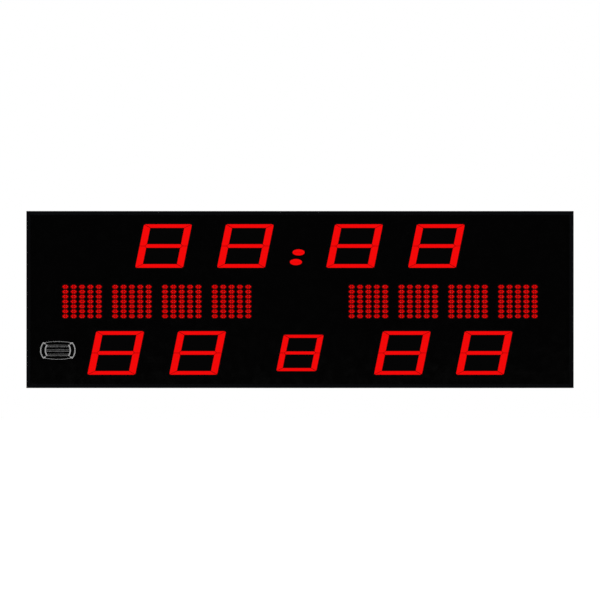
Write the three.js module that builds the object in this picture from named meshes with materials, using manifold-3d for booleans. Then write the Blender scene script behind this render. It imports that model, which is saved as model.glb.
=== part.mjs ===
// An indoor electronic scoreboard that hangs on a wall: a folded metal tray with a top-hinged front,
// which carries the lit digits, the dot-matrix team names and the horn.
// Millimetres. X runs to the viewer's right, Y from the viewer into the wall, Z up.
// The origin is the middle of the upper wall channel, on the face that meets the wall.
// Groups: front holds what swings up on the top hinge, cabinet what stays on the wall.
import * as THREE from "three";
import { ConvexGeometry } from "three/addons/geometries/ConvexGeometry.js";
import { mergeVertices } from "three/addons/utils/BufferGeometryUtils.js";
import Module from "manifold-3d";

const wasm = await Module();
wasm.setup();

// Clearances shared by every piece
const FIT_GAP = 0.3; // between a piece and what it is seated on
const CUT_OVERRUN = 1; // how far a cut runs past what it cuts
const WELD = 1e-3; // vertices nearer than this are one vertex
const ROUND_SIDES = 16; // of round pieces that name no number of their own

// Seven-segment digits
const DIGIT_HEIGHT = 200;
const DIGIT_WIDTH = 220.3; // outer width, measured level
const DIGIT_SLANT = Math.tan(THREE.MathUtils.degToRad(11.6));
const UPRIGHT_WIDTH = 31.6; // width of the four upright bars, measured level
const BAR_HEIGHT = 16.4; // height of the three level bars
const BAR_SEAM = 1.8; // gap between two neighbouring bars of the lens
const CORNER_ROUND = 8; // rounding of a digit's outer corners
const PERIOD_DIGIT_HEIGHT = 167; // the smaller digit between the scores
const HOUSING_MARGIN = 9; // black face of a digit housing around its bars
const HOUSING_DEPTH = 19; // from the lit face to the back of the housing
const HOUSING_FLANGE = 7; // flange of the housing, beyond its window
const FLANGE_THICKNESS = 2.4;
const LENS_WEB = 2; // plate that joins a lens's bars behind the housing

// Colon between minutes and seconds
const COLON_DOT_WIDTH = 56.2;
const COLON_DOT_HEIGHT = 28.5;
const COLON_SPACING = 44.6; // between the two dots' centres, upwards
const COLON_STEP = 12.2; // the upper dot stands this far to the right of the lower
const COLON_DROP = 51.7; // from the digits' middle to the colon's middle
const COLON_SHIFT = 12.5; // the colon's middle stands this far left of the board's middle
const COLON_WEB_MARGIN = 9;

// Dot-matrix letters, 5 by 7 pixels each
const LETTER_COLUMNS = 5;
const LETTER_ROWS = 7;
const NAME_LETTERS = 4;
const PIXEL_WIDTH = 30;
const PIXEL_HEIGHT = 19.4;
const PIXEL_PITCH_X = 38.5;
const PIXEL_PITCH_Z = 22.6;
const PIXEL_SIDES = 8;
const LETTER_MARGIN = 8; // black border of a letter module around its pixels
const LETTER_FLANGE = 6;

// Layout of the face
const TOP_MARGIN = 60.9; // board edge to the timer's digits
const TIMER_TO_NAMES = 78.1;
const NAMES_TO_SCORES = 59.4;
const BOTTOM_MARGIN = 61.6;
const SIDE_MARGIN = 163.7; // board edge to the outer letters
const NAMES_SPACING = 446.6; // between the two team names
const LETTER_GAP = 45.6;
const DIGIT_GAP = 156.8; // between the two digits of a pair
const TIMER_SPACING = 282.3; // between minutes and seconds
const PERIOD_GAP = 269.4; // between the period digit and a score

// Front frame, a mitred aluminium extrusion
const FRAME_DEPTH = 38;
const FRAME_WALL = 2.5;
const FRAME_LIP = 18; // bezel that shows from the front
const FRAME_FIN = 12; // fin that holds the face panel against the lip
const FIN_THICKNESS = 2;
const FRAME_REAR_FLANGE = 20;
const PANEL_THICKNESS = 3;
const BOARD_THICKNESS = 1.6; // every circuit board

// Rear tray, folded from sheet
const TRAY_DEPTH = 62;
const TRAY_WALL = 1.5;
const TRAY_INSET = 7; // the tray stays this far inside the frame's outline
const TRAY_FLANGE = 20; // return flange around the tray's mouth
const SEAL_GAP = 3; // between the front frame and the tray
const VENT_LENGTH = 40;
const VENT_WIDTH = 5;
const VENT_PITCH = 56;
const VENTS_IN_GROUP = 6;
const VENT_GROUP_X = 760; // middle of each group, from the board's middle

// Seal between front and tray
const SEAL_INSET = 10; // from the board's edge
const SEAL_WIDTH = 10;
const SEAL_TOP_DROP = 34; // the side strips stop this far under the board's top

// Hinge along the top edge
const HINGE_LENGTH = 2400;
const HINGE_KNUCKLES = 12;
const KNUCKLE_GAP = 0.6;
const BARREL_RADIUS = 3;
const BARREL_BORE = 1.7;
const BARREL_SIDES = 8;
const PIN_RADIUS = 1.2;
const LEAF_THICKNESS = 1;
const LEAF_WIDTH = 19;

// Quarter-turn latches in the frame's bottom, which hook behind the lips of two strikes under the tray.
// They stand unlocked here, with their blades towards the wall, so that the front is free to open.
const LATCH_X = 700; // strike middle, from the board's middle
const LATCH_SHAFT_RADIUS = 5;
const LATCH_COLLAR_RADIUS = 7.5;
const LATCH_COLLAR_HEIGHT = 2;
const LATCH_SIDES = 12;
const BLADE_REACH = 11.5;
const BLADE_WIDTH = 8;
const BLADE_THICKNESS = 3;
const BLADE_RISE = 2; // above the tray's bottom wall
const TOOL_SLOT_WIDTH = 1.6;
const TOOL_SLOT_DEPTH = 2;
const STRIKE_WIDTH = 20;
const STRIKE_REACH = 22; // how far a strike reaches into the frame
const STRIKE_SEAT = 24; // how far it runs back under the tray
const STRIKE_LIP_HEIGHT = 9;
const LATCH_CLEARANCE = 1; // between a locked blade and its lip
const STRIKE_CLEARANCE = 3; // beside a strike

// Wall channels, hat sections across the back
const CHANNEL_LENGTH = 2000;
const CHANNEL_FACE = 60; // height of the face that meets the wall
const CHANNEL_FLANGE = 18;
const CHANNEL_DEPTH = 17;
const CHANNEL_WALL = 2;
const CHANNEL_INSET = 120; // channel middle to the nearer edge of the board
const FIXING_SLOTS = 4;
const FIXING_END = 100; // outer slots' middle to the channel's ends
const FIXING_SLOT_LENGTH = 16;
const FIXING_SLOT_WIDTH = 9;
const SLOT_END_STEPS = 5; // sides of a slot's round end

// Horn behind the face, lower left
const HORN_INSET = 144.8; // horn middle to the board's left edge
const HORN_GAP = 52; // at least, between its rim and the first score digit
const HORN_RISE = 11.8; // above the middle of the score row
const HORN_HALF_WIDTH = 83.6; // at the bulge of the rim's sides
const HORN_HALF_HEIGHT = 44.8;
const HORN_CORNER_X = 70; // the rim's corners, from its middle
const HORN_CORNER_Z = 38;
const RIM_WIDTH = 8; // of the rim's sides
const RIM_HEIGHT = 5.5; // of its top and bottom
const RIM_THICKNESS = 2.5;
const WINDOW_STEP = 4; // the face's window is this much smaller than the rim
const CHEEK_X = 50; // ends of the two inner arcs
const CHEEK_Z = 25;
const CHEEK_BULGE = 7;
const CHEEK_WIDTH = 7;
const SLAT_PITCH = 20.6;
const SLAT_HEIGHT = 9;
const SLATS = 3;
const RIB_WIDTH = 7;
const FLARE_DEPTH = 40;
const FLARE_WALL = 2;
const FLARE_FLANGE = 9;
const THROAT_SIZE = 40;
const DRIVER_RADIUS = 36;
const DRIVER_DEPTH = 30;
const DRIVER_SIDES = 20;
const RIM_CURVE_STEPS = 6;

// Electronics in the tray
const SUPPLY_SIZE = [215, 50, 115];
const SUPPLY_WALL = 1.5; // a folded case, open towards the tray
const SUPPLY_X = 1050;
const SUPPLY_RISE = 190; // above the board's bottom edge
const CONTROLLER_SIZE = [240, BOARD_THICKNESS, 160];
const CONTROLLER_RISE = 470;
const STANDOFF_HEIGHT = 8;
const STANDOFF_RADIUS = 3.5;
const STANDOFF_INSET = 8;
const STANDOFF_SIDES = 8;

// Connections in the tray's right wall, from the board's bottom edge upwards
const SWITCH_RISE = 90;
const SWITCH_BEZEL = [16, 22]; // along Y and Z
const SWITCH_BODY = [13, 19.4];
const SWITCH_DEPTH = 15;
const ROCKER_RADIUS = 8.2; // from the pivot to the rocker's rounded ends
const ROCKER_THROW = 8; // degrees to either side of level
const ROCKER_SKIRT = 20; // degrees that the rounded ends run on below the pivot
const ROCKER_CLEARANCE = 0.5;
const ROCKER_PIVOT_DEPTH = 4.5; // pivot below the bezel's face
const ROCKER_WELL = 11; // depth of the well that the rocker turns in
const ROCKER_ARC_STEPS = 4;
const BEZEL_THICKNESS = 2;
const INLET_RISE = 150;
const INLET_FLANGE = [50, 38];
const INLET_BODY = [28, 34];
const INLET_DEPTH = 24;
const INLET_FLANGE_THICKNESS = 2.5;
const PLUG_CAVITY = [24.2, 16.4];
const PLUG_CAVITY_DEPTH = 17;
const PLUG_CAVITY_DROP = 6.2; // below the inlet's middle
const DRAWER_SIZE = [20, 8.5]; // along Y and Z
const DRAWER_DEPTH = 18;
const DRAWER_RISE = 10; // above the inlet's middle
const DRAWER_PROUD = 0.8;
const SOCKET_RISE = 215;
const SOCKET_FLANGE_RADIUS = 12;
const SOCKET_FLANGE_THICKNESS = 2;
const SOCKET_BODY_RADIUS = 8;
const SOCKET_DEPTH = 16;
const SOCKET_CAVITY_RADIUS = 6;
const SOCKET_CAVITY_DEPTH = 10;
const KNOB_RISE = 265;
const KNOB_RADIUS = 8.5;
const KNOB_HEIGHT = 5;
const KNOB_SHAFT_RADIUS = 3;
const KNOB_SHAFT_LENGTH = 12;

// Places that follow from the sizes above
const letterWidth = (LETTER_COLUMNS - 1) * PIXEL_PITCH_X + PIXEL_WIDTH;
const letterHeight = (LETTER_ROWS - 1) * PIXEL_PITCH_Z + PIXEL_HEIGHT;
const letterPitch = letterWidth + LETTER_GAP;
const nameWidth = NAME_LETTERS * letterWidth + (NAME_LETTERS - 1) * LETTER_GAP;
const nameX = (NAMES_SPACING + nameWidth) / 2;
const periodShare = PERIOD_DIGIT_HEIGHT / DIGIT_HEIGHT;
const digitHalf = (DIGIT_WIDTH + DIGIT_HEIGHT * DIGIT_SLANT) / 2; // half a digit, its lean included
const pairOffset = (DIGIT_WIDTH + DIGIT_GAP) / 2;
const timerPairX = TIMER_SPACING / 2 + DIGIT_WIDTH + DIGIT_GAP / 2;
const scorePairX = (periodShare * DIGIT_WIDTH) / 2 + PERIOD_GAP + DIGIT_WIDTH + DIGIT_GAP / 2;

// The board is as wide as the wider of two rows asks: the names, or the scores with the horn beside them
const namesHalf = nameX + nameWidth / 2 + SIDE_MARGIN;
const scoresHalf = scorePairX + pairOffset + digitHalf + HORN_GAP + HORN_HALF_WIDTH + HORN_INSET;
const halfWidth = Math.max(namesHalf, scoresHalf);
const boardWidth = 2 * halfWidth;
const rowsHeight = 2 * DIGIT_HEIGHT + letterHeight;
const boardHeight = TOP_MARGIN + rowsHeight + TIMER_TO_NAMES + NAMES_TO_SCORES + BOTTOM_MARGIN;

const boardTop = CHANNEL_INSET;
const boardBottom = boardTop - boardHeight;
const timerRow = boardTop - TOP_MARGIN - DIGIT_HEIGHT / 2;
const nameRow = timerRow - DIGIT_HEIGHT / 2 - TIMER_TO_NAMES - letterHeight / 2;
const scoreRow = boardBottom + BOTTOM_MARGIN + DIGIT_HEIGHT / 2;

const trayBack = -CHANNEL_DEPTH - FIT_GAP;
const trayFront = trayBack - TRAY_DEPTH;
const frameBack = trayFront - SEAL_GAP;
const frameFront = frameBack - FRAME_DEPTH;
const panelFront = frameFront + FRAME_WALL + FIT_GAP;
const panelBack = panelFront + PANEL_THICKNESS;
const trayTop = boardTop - TRAY_INSET;
const trayBottom = boardBottom + TRAY_INSET;
const trayHalfWidth = halfWidth - TRAY_INSET;

// Finishes
const finish = (color, roughness, metalness, emissive = 0x000000) =>
  new THREE.MeshStandardMaterial({ color, roughness, metalness, emissive });
const blackAnodised = finish(0x0b0b0c, 0.45, 0.6);
const blackAcrylic = finish(0x030303, 0.2, 0);
const blackPlastic = finish(0x060606, 0.6, 0);
const redLens = finish(0xff0000, 0.3, 0, 0xff0000);
const circuitGreen = finish(0x0e3d22, 0.5, 0);
const blackPaint = finish(0x101112, 0.55, 0.2);
const galvanised = finish(0x9a9c9e, 0.45, 0.9);
const plainSteel = finish(0x8c8d90, 0.35, 0.9);
const sealRubber = finish(0x0a0a0a, 0.85, 0);
const greyPaint = finish(0x9c9c9c, 0.45, 0.1);
const rockerPlastic = finish(0x8a1010, 0.35, 0);

// A closed three.js geometry as a solid that can be joined to others and cut
function solidOf(geometry) {
  const bare = geometry.clone();
  bare.deleteAttribute("normal");
  bare.deleteAttribute("uv");
  const welded = mergeVertices(bare, WELD);
  return new wasm.Manifold(
    new wasm.Mesh({
      numProp: 3,
      vertProperties: welded.attributes.position.array,
      triVerts: new Uint32Array(welded.index.array),
    }),
  );
}

// The solid back as a geometry for a mesh
function geometryOf(solid) {
  const mesh = solid.getMesh();
  const places = new Float32Array(mesh.numVert * 3);
  for (let i = 0; i < mesh.numVert; i++) {
    places.set(mesh.vertProperties.subarray(i * mesh.numProp, i * mesh.numProp + 3), i * 3);
  }
  const geometry = new THREE.BufferGeometry();
  geometry.setAttribute("position", new THREE.BufferAttribute(places, 3));
  geometry.setIndex(new THREE.BufferAttribute(mesh.triVerts, 1));
  const flat = geometry.toNonIndexed();
  flat.computeVertexNormals();
  return flat;
}

// A block between two corners
function block([x0, x1], [y0, y1], [z0, z1]) {
  const box = new THREE.BoxGeometry(x1 - x0, y1 - y0, z1 - z0);
  return solidOf(box.translate((x0 + x1) / 2, (y0 + y1) / 2, (z0 + z1) / 2));
}

// A span of a given length about its middle
const about = (middle, length) => [middle - length / 2, middle + length / 2];

// An outline in X and Z, carried from one depth to another
function prism(shape, yFront, yBack, curveSegments = 3) {
  const extruded = new THREE.ExtrudeGeometry(shape, {
    depth: yBack - yFront,
    bevelEnabled: false,
    curveSegments,
  });
  return solidOf(extruded.rotateX(Math.PI / 2).translate(0, yBack, 0));
}

// A round bar along Y or X, at the origin or at a place
function bar(radius, length, sides, axis = "y") {
  const cylinder = new THREE.CylinderGeometry(radius, radius, length, sides);
  if (axis === "x") cylinder.rotateZ(Math.PI / 2);
  return solidOf(cylinder);
}

const polygon = (points) => new THREE.Shape(points.map(([x, z]) => new THREE.Vector2(x, z)));

function rectangle(width, height, x = 0, z = 0) {
  return polygon([
    [x - width / 2, z - height / 2],
    [x + width / 2, z - height / 2],
    [x + width / 2, z + height / 2],
    [x - width / 2, z + height / 2],
  ]);
}

function oval(width, height, sides, x = 0, z = 0) {
  const points = [];
  for (let i = 0; i < sides; i++) {
    const turn = ((i + 0.5) / sides) * 2 * Math.PI;
    points.push([x + (width / 2) * Math.cos(turn), z + (height / 2) * Math.sin(turn)]);
  }
  return polygon(points);
}

const front = new THREE.Group();
const cabinet = new THREE.Group();

function add(group, name, solid, material, x = 0, y = 0, z = 0) {
  const geometry = solid.isBufferGeometry ? solid : geometryOf(solid);
  const mesh = new THREE.Mesh(geometry, material);
  mesh.name = name;
  mesh.position.set(x, y, z);
  group.add(mesh);
  return mesh;
}

// Digits: a leaning outline, its seven bars, and the housing around them
const lean = (u, v) => [u + v * DIGIT_SLANT, v];

// A leaning outline with rounded corners
function leaningOutline(width, height, round) {
  const corners = [
    [-1, -1],
    [1, -1],
    [1, 1],
    [-1, 1],
  ];
  const shape = new THREE.Shape();
  corners.forEach(([sx, sz], i) => {
    const u = (sx * width) / 2;
    const v = (sz * height) / 2;
    // every other corner is reached along the level edge, the rest along the upright one
    const before = i % 2 ? [u - sx * round, v] : [u, v - sz * round];
    const after = i % 2 ? [u, v - sz * round] : [u - sx * round, v];
    if (i === 0) shape.moveTo(...lean(...before));
    else shape.lineTo(...lean(...before));
    shape.quadraticCurveTo(...lean(u, v), ...lean(...after));
  });
  shape.closePath();
  return shape;
}

const leaningBox = (u0, u1, v0, v1) => [lean(u0, v0), lean(u1, v0), lean(u1, v1), lean(u0, v1)];

// A straight strip from a to b, for the seams between bars
function strip([u0, v0], [u1, v1], width) {
  const along = new THREE.Vector2(u1 - u0, v1 - v0).normalize();
  const side = new THREE.Vector2(-along.y, along.x).multiplyScalar(width / 2);
  return polygon([
    lean(u0 + side.x, v0 + side.y),
    lean(u0 - side.x, v0 - side.y),
    lean(u1 - side.x, v1 - side.y),
    lean(u1 + side.x, v1 + side.y),
  ]);
}

// The seven bars of a digit, each side moved out by grow
function digitBars(share, grow, yFront, yBack) {
  const width = share * DIGIT_WIDTH;
  const height = share * DIGIT_HEIGHT;
  const upright = share * UPRIGHT_WIDTH;
  const level = share * BAR_HEIGHT;
  const through = [yFront - CUT_OVERRUN, yBack + CUT_OVERRUN];
  const outline = leaningOutline(width + 2 * grow, height + 2 * grow, share * CORNER_ROUND);
  let bars = prism(outline, yFront, yBack);
  const innerU = width / 2 - upright - grow;
  for (const side of [-1, 1]) {
    const low = side < 0 ? -height / 2 + level + grow : level / 2 + grow;
    const high = side < 0 ? -level / 2 - grow : height / 2 - level - grow;
    bars = bars.subtract(prism(polygon(leaningBox(-innerU, innerU, low, high)), ...through));
  }
  const seam = BAR_SEAM - 2 * grow;
  const innerV = height / 2 - level;
  for (const sx of [-1, 1]) {
    const inner = sx * (width / 2 - upright);
    const outer = sx * (width / 2);
    const past = 1 + BAR_SEAM / level; // runs both seam ends clear of the bars
    const tip = inner + (sx * level) / 2;
    const seams = [
      ...[-1, 1].map((sz) => [
        [inner - sx * upright * (past - 1), sz * (innerV - level * (past - 1))],
        [inner + sx * upright * past, sz * (innerV + level * past)],
      ]),
      ...[-1, 1].map((sz) => [
        [inner - (sx * level * (past - 1)) / 2, (sz * level * past) / 2],
        [tip, 0],
      ]),
      [
        [tip, 0],
        [outer + sx * BAR_SEAM, 0],
      ],
    ];
    for (const [a, b] of seams) {
      bars = bars.subtract(prism(strip(a, b, seam), ...through));
    }
  }
  return bars;
}

// Depths of a digit, measured from the panel's front
const housingBack = HOUSING_DEPTH;
const webFront = housingBack + FIT_GAP;
const webBack = webFront + LENS_WEB;
const flangeFront = PANEL_THICKNESS + FIT_GAP;

function digitLens(share) {
  const web = leaningOutline(share * DIGIT_WIDTH, share * DIGIT_HEIGHT, share * CORNER_ROUND);
  return digitBars(share, 0, 0, webBack).add(prism(web, webFront, webBack));
}

// Half-size of a digit's housing around the bars, and the same with its flange
function digitFace(share, margin) {
  const u = (share * DIGIT_WIDTH) / 2 + margin;
  const v = (share * DIGIT_HEIGHT) / 2 + margin;
  return leaningBox(-u, u, -v, v);
}

function digitHousing(share) {
  const bodyShape = polygon(digitFace(share, HOUSING_MARGIN));
  const flangeShape = polygon(digitFace(share, HOUSING_MARGIN + HOUSING_FLANGE));
  return prism(bodyShape, 0, housingBack)
    .add(prism(flangeShape, flangeFront, flangeFront + FLANGE_THICKNESS))
    .subtract(digitBars(share, FIT_GAP, -CUT_OVERRUN, housingBack + CUT_OVERRUN));
}

const digits = [
  ["timer_digit_1", 1, -timerPairX - pairOffset, timerRow],
  ["timer_digit_2", 1, -timerPairX + pairOffset, timerRow],
  ["timer_digit_3", 1, timerPairX - pairOffset, timerRow],
  ["timer_digit_4", 1, timerPairX + pairOffset, timerRow],
  ["home_digit_1", 1, -scorePairX - pairOffset, scoreRow],
  ["home_digit_2", 1, -scorePairX + pairOffset, scoreRow],
  ["period_digit", periodShare, 0, scoreRow],
  ["guest_digit_1", 1, scorePairX - pairOffset, scoreRow],
  ["guest_digit_2", 1, scorePairX + pairOffset, scoreRow],
];

function addDigits() {
  const sizes = new Map();
  for (const share of [1, periodShare]) {
    sizes.set(share, [geometryOf(digitHousing(share)), geometryOf(digitLens(share))]);
  }
  for (const [name, share, x, z] of digits) {
    const [housing, lens] = sizes.get(share);
    add(front, name + "_housing", housing, blackPlastic, x, panelFront, z);
    add(front, name + "_lens", lens, redLens, x, panelFront, z);
  }
}

// The colon's two lenses pass through the face panel from one plate behind it
const colonX = -COLON_SHIFT;
const colonZ = timerRow - COLON_DROP;
const colonDots = [-1, 1].map((s) => [(s * COLON_STEP) / 2, (s * COLON_SPACING) / 2]);

function addColon() {
  const plateWidth = COLON_DOT_WIDTH + COLON_STEP + 2 * COLON_WEB_MARGIN;
  const plateHeight = COLON_DOT_HEIGHT + COLON_SPACING + 2 * COLON_WEB_MARGIN;
  const lensBack = flangeFront + LENS_WEB;
  let lens = prism(rectangle(plateWidth, plateHeight), flangeFront, lensBack);
  for (const [x, z] of colonDots) {
    lens = lens.add(prism(oval(COLON_DOT_WIDTH, COLON_DOT_HEIGHT, ROUND_SIDES, x, z), 0, lensBack));
  }
  add(front, "colon_lens", lens, redLens, colonX, panelFront, colonZ);
}

// Letters: a black mask with 35 oval windows, and one red plate behind each name
const maskDepth = flangeFront + FLANGE_THICKNESS;

function letterMask() {
  const width = letterWidth + 2 * LETTER_MARGIN;
  const height = letterHeight + 2 * LETTER_MARGIN;
  let mask = prism(rectangle(width, height), 0, maskDepth).add(
    prism(rectangle(width + 2 * LETTER_FLANGE, height + 2 * LETTER_FLANGE), flangeFront, maskDepth),
  );
  const pixel = prism(oval(PIXEL_WIDTH, PIXEL_HEIGHT, PIXEL_SIDES), -CUT_OVERRUN, maskDepth + CUT_OVERRUN);
  for (let column = 0; column < LETTER_COLUMNS; column++) {
    for (let row = 0; row < LETTER_ROWS; row++) {
      const x = (column - (LETTER_COLUMNS - 1) / 2) * PIXEL_PITCH_X;
      const z = (row - (LETTER_ROWS - 1) / 2) * PIXEL_PITCH_Z;
      mask = mask.subtract(pixel.translate(x, 0, z));
    }
  }
  return mask;
}

function addNames() {
  const mask = geometryOf(letterMask());
  const lensFront = panelFront + maskDepth + FIT_GAP;
  const lensBack = lensFront + LENS_WEB;
  const boardFront = lensBack + FIT_GAP;
  const height = letterHeight + 2 * LETTER_MARGIN;
  for (const [team, side] of [
    ["home", -1],
    ["guest", 1],
  ]) {
    const middle = side * nameX;
    for (let i = 0; i < NAME_LETTERS; i++) {
      const x = middle + (i - (NAME_LETTERS - 1) / 2) * letterPitch;
      add(front, team + "_letter_" + (i + 1), mask, blackPlastic, x, panelFront, nameRow);
    }
    const span = about(middle, nameWidth + 2 * LETTER_MARGIN);
    const rise = about(nameRow, height);
    add(front, team + "_name_lens", block(span, [lensFront, lensBack], rise), redLens);
    const board = block(span, [boardFront, boardFront + BOARD_THICKNESS], rise);
    add(front, team + "_name_board", board, circuitGreen);
  }
}

// Circuit boards behind the digits' lenses, one for each row
function addDigitBoards() {
  const boardFront = panelFront + webBack + FIT_GAP;
  const depth = [boardFront, boardFront + BOARD_THICKNESS];
  const boards = [
    ["timer_board", timerPairX, timerRow],
    ["score_board", scorePairX, scoreRow],
  ];
  for (const [name, pairX, z] of boards) {
    const half = pairX + pairOffset + digitHalf;
    add(front, name, block([-half, half], depth, about(z, DIGIT_HEIGHT)), circuitGreen);
  }
}

// Horn: a bulged rim with three slats on the face, a flare and a driver behind it
const hornX = -halfWidth + HORN_INSET;
const hornZ = scoreRow + HORN_RISE;

// A four-sided outline whose sides bulge out, shrunk by an inset along X and one along Z
function bulged(insetX, insetZ) {
  const cornerX = HORN_CORNER_X - insetX;
  const cornerZ = HORN_CORNER_Z - insetZ;
  // the middle of a quadratic curve lies halfway to its control point
  const bulgeX = 2 * (HORN_HALF_WIDTH - insetX) - cornerX;
  const bulgeZ = 2 * (HORN_HALF_HEIGHT - insetZ) - cornerZ;
  const shape = new THREE.Shape();
  shape.moveTo(-cornerX, -cornerZ);
  shape.quadraticCurveTo(0, -bulgeZ, cornerX, -cornerZ);
  shape.quadraticCurveTo(bulgeX, 0, cornerX, cornerZ);
  shape.quadraticCurveTo(0, bulgeZ, -cornerX, cornerZ);
  shape.quadraticCurveTo(-bulgeX, 0, -cornerX, -cornerZ);
  return shape;
}

// One of the two arcs that the slats run between
function cheek(side) {
  const inner = side * (CHEEK_X - CHEEK_WIDTH / 2);
  const outer = side * (CHEEK_X + CHEEK_WIDTH / 2);
  const bulge = side * 2 * CHEEK_BULGE;
  const shape = new THREE.Shape();
  shape.moveTo(inner, -CHEEK_Z);
  shape.lineTo(outer, -CHEEK_Z);
  shape.quadraticCurveTo(outer + bulge, 0, outer, CHEEK_Z);
  shape.lineTo(inner, CHEEK_Z);
  shape.quadraticCurveTo(inner + bulge, 0, inner, -CHEEK_Z);
  return shape;
}

function hornGrille() {
  const through = [-CUT_OVERRUN, RIM_THICKNESS + CUT_OVERRUN];
  const inside = prism(bulged(RIM_WIDTH, RIM_HEIGHT), ...through, RIM_CURVE_STEPS);
  let grille = prism(bulged(0, 0), 0, RIM_THICKNESS, RIM_CURVE_STEPS).subtract(inside);
  for (const side of [-1, 1]) {
    grille = grille.add(prism(cheek(side), 0, RIM_THICKNESS, RIM_CURVE_STEPS));
    for (const up of [-1, 1]) {
      const corner = [side * (HORN_CORNER_X - RIM_WIDTH / 2), up * (HORN_CORNER_Z - RIM_WIDTH / 2)];
      const end = [side * CHEEK_X, up * (CHEEK_Z - CHEEK_WIDTH / 2)];
      grille = grille.add(prism(levelStrip(end, corner, RIB_WIDTH), 0, RIM_THICKNESS));
    }
  }
  for (let i = 0; i < SLATS; i++) {
    const z = (i - (SLATS - 1) / 2) * SLAT_PITCH;
    // a slat ends on the middle line of the two arcs
    const reach = 2 * (CHEEK_X + CHEEK_BULGE * (1 - (z / CHEEK_Z) ** 2));
    grille = grille.add(block(about(0, reach), [0, RIM_THICKNESS], about(z, SLAT_HEIGHT)));
  }
  return grille;
}

// A straight strip between two points, upright to the face and not leaning
function levelStrip([x0, z0], [x1, z1], width) {
  const along = new THREE.Vector2(x1 - x0, z1 - z0).normalize();
  const side = new THREE.Vector2(-along.y, along.x).multiplyScalar(width / 2);
  return polygon([
    [x0 + side.x, z0 + side.y],
    [x0 - side.x, z0 - side.y],
    [x1 - side.x, z1 - side.y],
    [x1 + side.x, z1 + side.y],
  ]);
}

// A four-sided taper between two rectangles, given by their half-sizes, at two depths
function taper([halfX0, halfZ0], y0, [halfX1, halfZ1], y1) {
  const points = [];
  for (const sx of [-1, 1]) {
    for (const sz of [-1, 1]) {
      points.push(new THREE.Vector3(sx * halfX0, y0, sz * halfZ0));
      points.push(new THREE.Vector3(sx * halfX1, y1, sz * halfZ1));
    }
  }
  return solidOf(new ConvexGeometry(points));
}

function addHorn() {
  const rimFront = panelFront - FIT_GAP - RIM_THICKNESS;
  add(front, "horn_grille", hornGrille(), greyPaint, hornX, rimFront, hornZ);

  const mouthX = HORN_CORNER_X - WINDOW_STEP;
  const mouthZ = HORN_CORNER_Z - WINDOW_STEP;
  const throat = THROAT_SIZE / 2;
  const throatOuter = throat + FLARE_WALL;
  const flangeX = 2 * (HORN_HALF_WIDTH + FLARE_FLANGE);
  const flangeZ = 2 * (HORN_HALF_HEIGHT + FLARE_FLANGE);
  const mouthOuter = [mouthX + FLARE_WALL, mouthZ + FLARE_WALL];
  const shell = taper(mouthOuter, 0, [throatOuter, throatOuter], FLARE_DEPTH);
  const hollow = taper([mouthX, mouthZ], -CUT_OVERRUN, [throat, throat], FLARE_DEPTH + CUT_OVERRUN);
  const flange = block(about(0, flangeX), [0, FLARE_WALL], about(0, flangeZ));
  const flareFront = panelBack + FIT_GAP;
  add(front, "horn_flare", shell.add(flange).subtract(hollow), blackPlastic, hornX, flareFront, hornZ);

  const driver = bar(DRIVER_RADIUS, DRIVER_DEPTH, DRIVER_SIDES);
  const driverY = flareFront + FLARE_DEPTH + FIT_GAP + DRIVER_DEPTH / 2;
  add(front, "horn_driver", driver, blackPlastic, hornX, driverY, hornZ);
}

// Face panel with a window for every digit, letter, colon dot and the horn
function addFacePanel() {
  const edge = FRAME_WALL + FIT_GAP;
  const middle = boardTop - boardHeight / 2;
  const windows = digits.map(([, share, x, z]) => [
    polygon(digitFace(share, HOUSING_MARGIN + FIT_GAP)),
    x,
    z,
  ]);
  const letter = rectangle(
    letterWidth + 2 * (LETTER_MARGIN + FIT_GAP),
    letterHeight + 2 * (LETTER_MARGIN + FIT_GAP),
  );
  for (const side of [-1, 1]) {
    for (let i = 0; i < NAME_LETTERS; i++) {
      windows.push([letter, side * nameX + (i - (NAME_LETTERS - 1) / 2) * letterPitch, nameRow]);
    }
  }
  const dot = oval(COLON_DOT_WIDTH + 2 * FIT_GAP, COLON_DOT_HEIGHT + 2 * FIT_GAP, ROUND_SIDES);
  for (const [x, z] of colonDots) windows.push([dot, colonX + x, colonZ + z]);
  windows.push([bulged(WINDOW_STEP, WINDOW_STEP), hornX, hornZ]);

  const outline = rectangle(boardWidth - 2 * edge, boardHeight - 2 * edge, 0, middle);
  let sheet = prism(outline, 0, PANEL_THICKNESS);
  for (const [shape, x, z] of windows) {
    const window = prism(shape, -CUT_OVERRUN, PANEL_THICKNESS + CUT_OVERRUN, RIM_CURVE_STEPS);
    sheet = sheet.subtract(window.translate(x, 0, z));
  }
  add(front, "face_panel", sheet, blackAcrylic, 0, panelFront, 0);
}

// Front frame: one profile, four mitred lengths
function frameProfile() {
  const finFront = panelBack - frameFront + FIT_GAP;
  const finBack = finFront + FIN_THICKNESS;
  const rear = FRAME_DEPTH - FRAME_WALL;
  return polygon([
    [0, 0],
    [FRAME_LIP, 0],
    [FRAME_LIP, FRAME_WALL],
    [FRAME_WALL, FRAME_WALL],
    [FRAME_WALL, finFront],
    [FRAME_FIN, finFront],
    [FRAME_FIN, finBack],
    [FRAME_WALL, finBack],
    [FRAME_WALL, rear],
    [FRAME_REAR_FLANGE, rear],
    [FRAME_REAR_FLANGE, FRAME_DEPTH],
    [0, FRAME_DEPTH],
  ]);
}

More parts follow.
